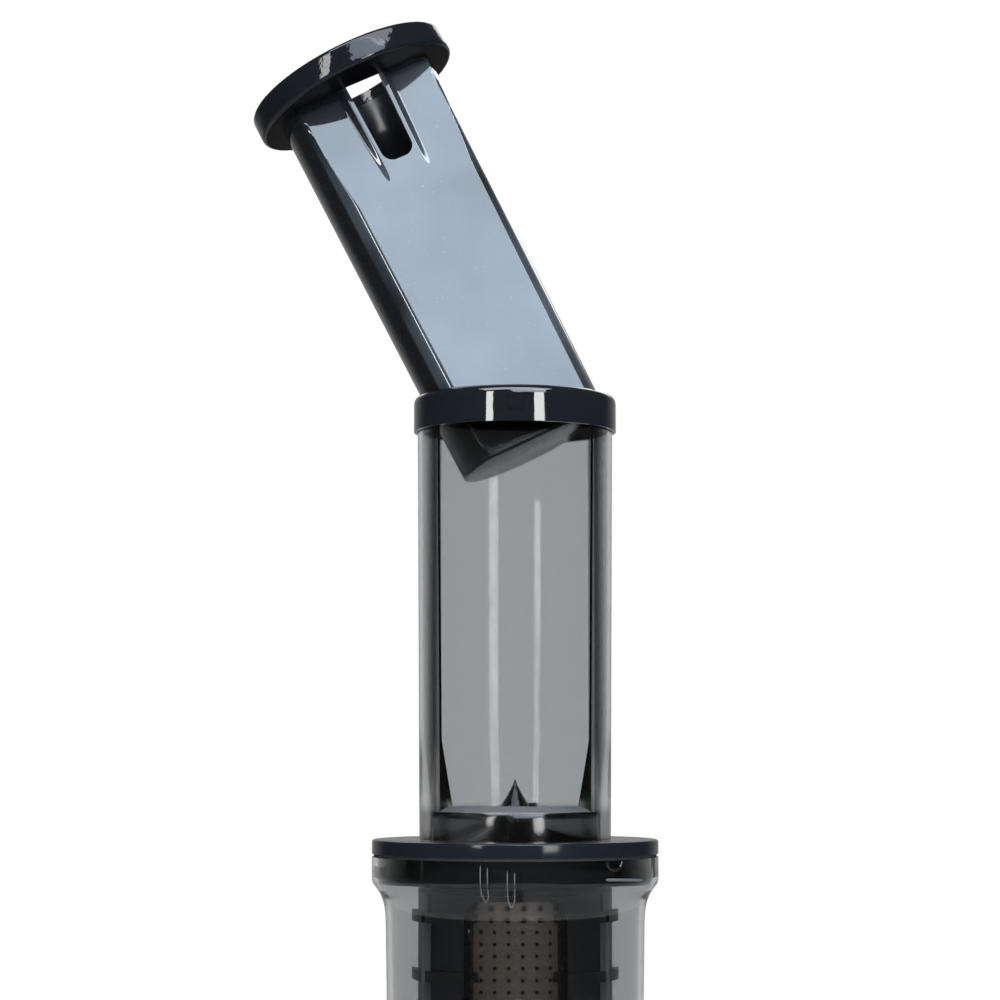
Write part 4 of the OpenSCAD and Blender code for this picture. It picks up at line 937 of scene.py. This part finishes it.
@dataclass
class PusherSet(Assembly):
    """The hollow pusher that leans in the mouth: its scooped body and its cap."""

    FLAT_STEPS = 30
    SLOPE_STEPS = 10
    EDGE_STEPS = 9
    BACK_STEPS = 96
    SHAFT_RINGS = 24
    SCOOP_RINGS = 64
    DULL_RINGS = 2
    INSIDE = 1
    FOOT_CURVE = ((0.0, 1.0), (0.12, 0.52), (0.45, 0.16), (1.0, 0.0))

    lean: float = math.radians(26.6)
    back: float = math.radians(3.0)
    turn: float = math.radians(10.5)
    foot: Place = (9.3 * MM, 1.2 * MM, 469.6 * MM)
    foot_r: float = 35.8 * MM
    top_r: float = 37.8 * MM
    flat: float = 22.5 * MM
    edge: float = 4 * MM
    wall: float = 2.2 * MM
    floor: float = 2.5 * MM
    inner_from: float = 4 * MM
    foot_round: float = 1.4 * MM
    under_cap: float = 182.6 * MM
    socket: float = 6.9 * MM
    scoop: float = 55 * MM
    depth: float = 3.7 * MM
    onset: float = 0.1
    lip: float = 1.6 * MM
    lip_from: float = 0.94
    tab_foot: float = 7.9 * MM
    tab_top: float = 10.2 * MM
    tab_inset: float = 0.4
    tab_reach: float = 1.15
    slope: float = 3.4 * MM
    window: tuple[float, float, float, float] = (7.6 * MM, 8.9 * MM, 40 * MM, 5.5 * MM)
    window_back: float = 6 * MM
    mouth: float = 486 * MM
    straight_down: float = 0.9

    def soften(self, node: str, edge: float) -> bpy.types.Object:
        """Gives the cap's underside a darker, duller copy of its black, painted shade, and makes every other piece as
        usual.

        Args:
            node: The node's name.
            edge: Width of the rounding, in metres, or zero.

        Returns:
            The piece that stands for the node.
        """
        piece = super().soften(node, edge)
        if node == "pusher_cap":
            down = self.place().to_3x3() @ Vector((0, 0, -1))
            self.redress(piece, Finishes.UNDER_PAINTED_SHADE, lambda face: face.normal.dot(down) > self.straight_down)
        return piece

    def place(self) -> Matrix:
        """Returns the matrix that leans the pusher in the mouth."""
        return (Matrix.Translation(self.foot) @ Matrix.Rotation(-self.lean, 4, "Y")
                @ Matrix.Rotation(-self.back, 4, "X") @ Matrix.Rotation(self.turn, 4, "Z"))

    def outline(self, height: float, inset: float) -> list[Vector]:
        """Works out the D-shaped section at a height.

        Args:
            height: Along the pusher's axis.
            inset: How far the section lies inside the outer one.

        Returns:
            Its points, from the flat's left end round to the back.
        """
        radius = self.foot_r + (self.top_r - self.foot_r) * height / self.under_cap - inset
        flat = self.flat - inset
        reach = math.sqrt((radius - self.edge) ** 2 - (flat - self.edge) ** 2)
        share = max(0.0, min(self.tab_reach, (height - self.under_cap + self.scoop) / self.scoop))
        tab = self.tab_foot + (self.tab_top - self.tab_foot) * share - inset * self.tab_inset
        stops = ((-reach, self.FLAT_STEPS), (-tab - self.slope, self.SLOPE_STEPS), (-tab, self.FLAT_STEPS),
                 (tab, self.SLOPE_STEPS), (tab + self.slope, self.FLAT_STEPS), (reach, 0))
        across = []
        for (start, count), (end, _) in zip(stops, stops[1:]):
            across += [start + (end - start) * k / count for k in range(count)]
        points = [Vector((x, -flat, height)) for x in across]
        begin = math.atan2(self.edge - flat, reach)
        corner = begin + math.pi / 2
        turns = [(reach, self.edge - flat, self.edge, -math.pi / 2 + corner * k / self.EDGE_STEPS)
                 for k in range(self.EDGE_STEPS)]
        turns += [(0.0, 0.0, radius, begin + (math.pi - 2 * begin) * k / self.BACK_STEPS)
                  for k in range(self.BACK_STEPS + 1)]
        turns += [(-reach, self.edge - flat, self.edge, math.pi - begin + corner * k / self.EDGE_STEPS)
                  for k in range(1, self.EDGE_STEPS)]
        points += [Vector((x + size * math.cos(angle), y + size * math.sin(angle), height))
                   for x, y, size, angle in turns]
        for point in points:
            aside = max(0.0, min(1.0, (abs(point.x) - tab) / self.slope))
            sunk = self.sink(share) * aside * aside * (3 - 2 * aside)
            point.y = max(point.y, -flat + sunk)
        return points

    def sink(self, share: float) -> float:
        """Works out how deep the scoops are.

        Args:
            share: The share of the way up to the cap.

        Returns:
            Their depth there.
        """
        rise = min(share, 1.0)
        bowl = (1 + self.onset) * rise * rise / (rise + self.onset)
        lip = max(0.0, min(1.0, (rise - self.lip_from) / (1 - self.lip_from)))
        return self.depth * bowl + self.lip * lip * lip

    def body_mesh(self) -> bmesh.types.BMesh:
        """Makes the hollow body, along its own axis.

        Returns:
            The body, as one closed shell.
        """
        start, top = self.under_cap - self.scoop, self.under_cap + self.socket
        soft = self.foot_round
        levels = [(height * soft, inset * soft) for height, inset in self.FOOT_CURVE]
        levels += [(soft + (start - soft) * k / self.SHAFT_RINGS, 0.0) for k in range(1, self.SHAFT_RINGS + 1)]
        levels += [(start + self.scoop * k / self.SCOOP_RINGS, 0.0) for k in range(1, self.SCOOP_RINGS + 1)]
        levels += [(top, 0.0)]
        inner_levels = [(height, self.wall) for height, _ in levels[::-1] if height > self.inner_from]
        inner_levels += [(self.floor, self.wall)]
        mesh = bmesh.new()
        rings = [[mesh.verts.new(point) for point in self.outline(height, inset)]
                 for height, inset in levels + inner_levels]
        count = len(rings[0])
        for number, (low, high) in enumerate(zip(rings, rings[1:])):
            for a in range(count):
                b = (a + 1) % count
                face = mesh.faces.new((low[a], low[b], high[b], high[a]))
                face.material_index = self.INSIDE * (number < self.DULL_RINGS or number >= len(levels))
        for ends in (rings[0][::-1], rings[-1]):
            mesh.faces.new(ends).material_index = self.INSIDE
        bmesh.ops.recalc_face_normals(mesh, faces=mesh.faces)
        return mesh

    def window_mesh(self) -> bmesh.types.BMesh:
        """Makes the cutter of the U-shaped grip window.

        Returns:
            The cutter, along the pusher's axis.
        """
        half_foot, half_top, length, bend = self.window
        low, high = self.under_cap - length, self.under_cap + 2 * self.socket
        sides = [(half_top, high)]
        sides += [(half_foot - bend + bend * math.cos(a), low + bend + bend * math.sin(a))
                  for a in (-math.pi / 2 * k / ARC_STEPS for k in range(ARC_STEPS + 1))]
        points = sides + [(-x, z) for x, z in sides[::-1]]
        mesh = bmesh.new()
        face = mesh.faces.new([mesh.verts.new((x, -self.top_r, z)) for x, z in points])
        Forms.push(mesh, face, Vector((0, self.top_r - self.window_back, 0)))
        bmesh.ops.recalc_face_normals(mesh, faces=mesh.faces)
        return mesh

    def details(self) -> None:
        """Makes the pusher's body, with its window cut out."""
        body, window = self.body_mesh(), self.window_mesh()
        for mesh in (body, window):
            mesh.transform(self.place())
        for face in body.faces:
            if face.calc_center_median().z < self.mouth:
                face.material_index = self.INSIDE
        body = carved("pusher", body, window, (Finishes.PAINTED_SHEEN_GLOSS, Finishes.INNER))
        LOG.info("inner faces of the pusher: %d", sum(face.material_index for face in body.faces))
        cup = self.add("pusher_cup", body, Finishes.PAINTED_SHEEN_GLOSS, ("pusher_body",))
        cup.data.materials.append(Finishes.INNER.material())


@dataclass(frozen=True)
class Lamp:
    """A rectangular soft box, placed by its bearing from the camera's side and its height, both in degrees."""

    name: str
    azimuth: float
    elevation: float
    distance: float
    width: float
    height: float
    radiance: float
    colour: Colour = (1, 1, 1)

    def hang(self, aim: Vector) -> None:
        """Hangs the lamp.

        Args:
            aim: The point that it looks at.
        """
        turn, rise = math.radians(self.azimuth), math.radians(self.elevation)
        way = Vector((math.sin(turn) * math.cos(rise), -math.cos(turn) * math.cos(rise), math.sin(rise)))
        data = bpy.data.lights.new(self.name, "AREA")
        data.shape, data.size, data.size_y = "RECTANGLE", self.width, self.height
        data.energy = self.radiance * math.pi * self.width * self.height
        data.color = self.colour
        lamp = shown(self.name, data)
        lamp.location = aim + way * self.distance
        lamp.rotation_euler = way.to_track_quat("Z", "Y").to_euler()


class Studio:
    """Floor, backdrop, lamps and camera."""

    EYE = Vector((-0.00675, -1.215, 0.33035))
    FOCAL_PX = 2700.0
    FRAME_PX = 1000.0
    EYE_ROW = 755.0
    SENSOR_MM = 36.0
    CLIP = (0.05, 50.0)
    AIM = Vector((0.0, 0.0, 0.45))
    WHITE = (1, 1, 1, 1)
    THROUGH = (0.0, 0.9, 0.06, 1.0)
    FRONT_SHARE = -0.3
    GLINT = (0.55, 1.0, 0.04, 0.35)
    FILL = 0.45
    FLOOR_R = 1.15
    FLOOR_SIDES = 96
    FADE = (0.35, 1.1)
    PAPER = (0.82, 0.82, 0.82, 1)
    DIM = 0.16
    DIM_SHARE = 0.75
    LAMPS = (
        Lamp("left_strip", -29, 14, 1.5, 0.2, 0.76, 14.0),
        Lamp("right_strip", 27, 8, 1.5, 0.3, 0.6, 14.0),
        Lamp("front_scrim", 17, 33, 1.6, 1.0, 0.7, 6.9, (0.70, 0.84, 1.0)),
        Lamp("top_box", 0, 58, 1.5, 1.7, 0.75, 7.0, (0.9, 0.95, 1.0)),
        Lamp("back_box", 180, 35, 1.5, 1.2, 0.8, 2.0),
    )

    def build(self) -> None:
        """Makes the whole studio."""
        bpy.context.scene.view_settings.view_transform = "Standard"
        self.camera()
        self.world()
        self.floor()
        for lamp in self.LAMPS:
            lamp.hang(self.AIM)

    def camera(self) -> None:
        """Sets the camera at the photograph's place and angle."""
        data = bpy.data.cameras.new("camera")
        data.sensor_width = self.SENSOR_MM
        data.lens = data.sensor_width * self.FOCAL_PX / self.FRAME_PX
        data.clip_start, data.clip_end = self.CLIP
        eye = shown("camera", data)
        eye.location = self.EYE
        pitch = math.atan((self.EYE_ROW - self.FRAME_PX / 2) / self.FOCAL_PX)
        eye.rotation_euler = (math.pi / 2 + pitch, 0, 0)
        bpy.context.scene.camera = eye

    def world(self) -> None:
        """Makes a white backdrop over a soft grey fill, darker in mirrors and, from behind, in smoky plastic."""
        world = bpy.data.worlds.new("studio")
        bpy.context.scene.world = world
        world.use_nodes = True
        graph = Graph(world.node_tree)
        seen, glass, mirror = (graph.ray(kind) for kind in ("Camera", "Transmission", "Glossy"))
        way = graph.node("ShaderNodeTexCoord", {}, {}, "Generated")
        back = graph.node("ShaderNodeSeparateXYZ", {}, {0: way}, "Y")
        through = graph.smooth(back.larger(back * self.FRONT_SHARE), *self.THROUGH)
        glint = graph.smooth(back, *self.GLINT)
        other = (1 - glass) * (mirror * glint + (1 - mirror) * self.FILL)
        strength = seen + (1 - seen) * (glass * through + other)
        shade = graph.node("ShaderNodeBackground", {}, {"Color": self.WHITE, "Strength": strength})
        graph.node("ShaderNodeOutputWorld", {}, {"Surface": shade})

    def floor(self) -> None:
        """Lays a pale round floor that fades into the backdrop, and shows in mirrors partly as a dim glow, painted
        shade.
        """
        mesh = bmesh.new()
        bmesh.ops.create_circle(mesh, cap_ends=True, segments=self.FLOOR_SIDES, radius=self.FLOOR_R)
        floor = shown("floor", Forms.data("floor", mesh))
        material = bpy.data.materials.new("floor")
        material.use_nodes = True
        graph = Graph(material.node_tree)
        far = graph.node("ShaderNodeVectorMath", {"operation": "LENGTH"}, {0: graph.place()}, "Value")
        paper = graph.node("ShaderNodeBsdfDiffuse", {}, {"Color": self.PAPER})
        white = graph.node("ShaderNodeEmission", {}, {"Color": self.WHITE, "Strength": 1.0})
        # Painted shade: in mirrors the floor shows mostly as a dim glow, standing for darker ground under the object.
        dim = graph.node("ShaderNodeEmission", {}, {"Color": self.WHITE, "Strength": self.DIM})
        dimmed_in_mirrors = graph.node("ShaderNodeMixShader", {}, {0: graph.ray("Glossy") * self.DIM_SHARE, 1: paper, 2: dim})
        either = graph.ray("Camera").larger(graph.ray("Transmission"))
        fade = graph.smooth(far, *self.FADE)
        mixed = graph.node("ShaderNodeMixShader", {}, {0: fade * either, 1: dimmed_in_mirrors, 2: white})
        graph.node("ShaderNodeOutputMaterial", {}, {"Surface": mixed})
        floor.data.materials.append(material)


def assemblies() -> tuple[Assembly, ...]:
    """Lists the juicer's sub-assemblies.

    Returns:
        Every one, in the order in which they are dressed.
    """
    return (
        Assembly("base", ("base_plate", "base_screws", "deck_screws", "vent_grille", "power_inlet",
                          "rotary_switch", "circuit_board", "motor_can", "stator_core", "motor_bearings",
                          "motor_screws", "gearbox_case", "gearbox_cover", "gearbox_screws", "gear_pin",
                          "shaft_bearing", "deck_seal"),
                 {"base_housing": 0.8 * MM, "top_deck": 0.6 * MM, "rubber_feet": 0.8 * MM}),
        Assembly("rotor", ("rotor_core", "rotor_pinion", "cooling_fan")),
        Assembly("reduction", ("reduction_gear",)),
        Assembly("drive", ("output_gear", "drive_shaft")),
        Assembly("knob", (), {"control_knob": 0.6 * MM}),
        BowlSet("bowl_set", ("bowl_seal", "cap_pin", "flap_pin", "idler_pin", "auger_washer"),
                {"bowl": 0.3 * MM, "juice_spout": 0.3 * MM, "pulp_duct": 0.3 * MM, "strainer_frame": 0.0}),
        Assembly("juice_lever", ("cap_gasket",), {"juice_cap": 0.5 * MM}),
        Assembly("pulp_door", (), {"pulp_flap": 0.5 * MM}),
        BrushSet("brush", ("brush_blades",)),
        Assembly("idler", ("idler_gear",)),
        Assembly("screw", (), {"auger": 0.0}),
        LidSet("lid_set", ("lid_seal", "collar_plug"),
               {"lid": 0.3 * MM, "chute": 0.3 * MM, "collar": 0.3 * MM},
               {"chute": Finishes.CHUTE, "collar_plug": Finishes.BLACK, "lid": Finishes.LID}),
        PusherSet("pusher", (), {"pusher_cap": 0.5 * MM}, {"pusher_cap": Finishes.CAP}),
    )


def main() -> None:
    """Builds the studio and every sub-assembly."""
    logging.basicConfig(level=logging.INFO, format="%(name)s: %(message)s")
    Studio().build()
    for part in assemblies():
        part.build()


if __name__ == "__main__":
    main()
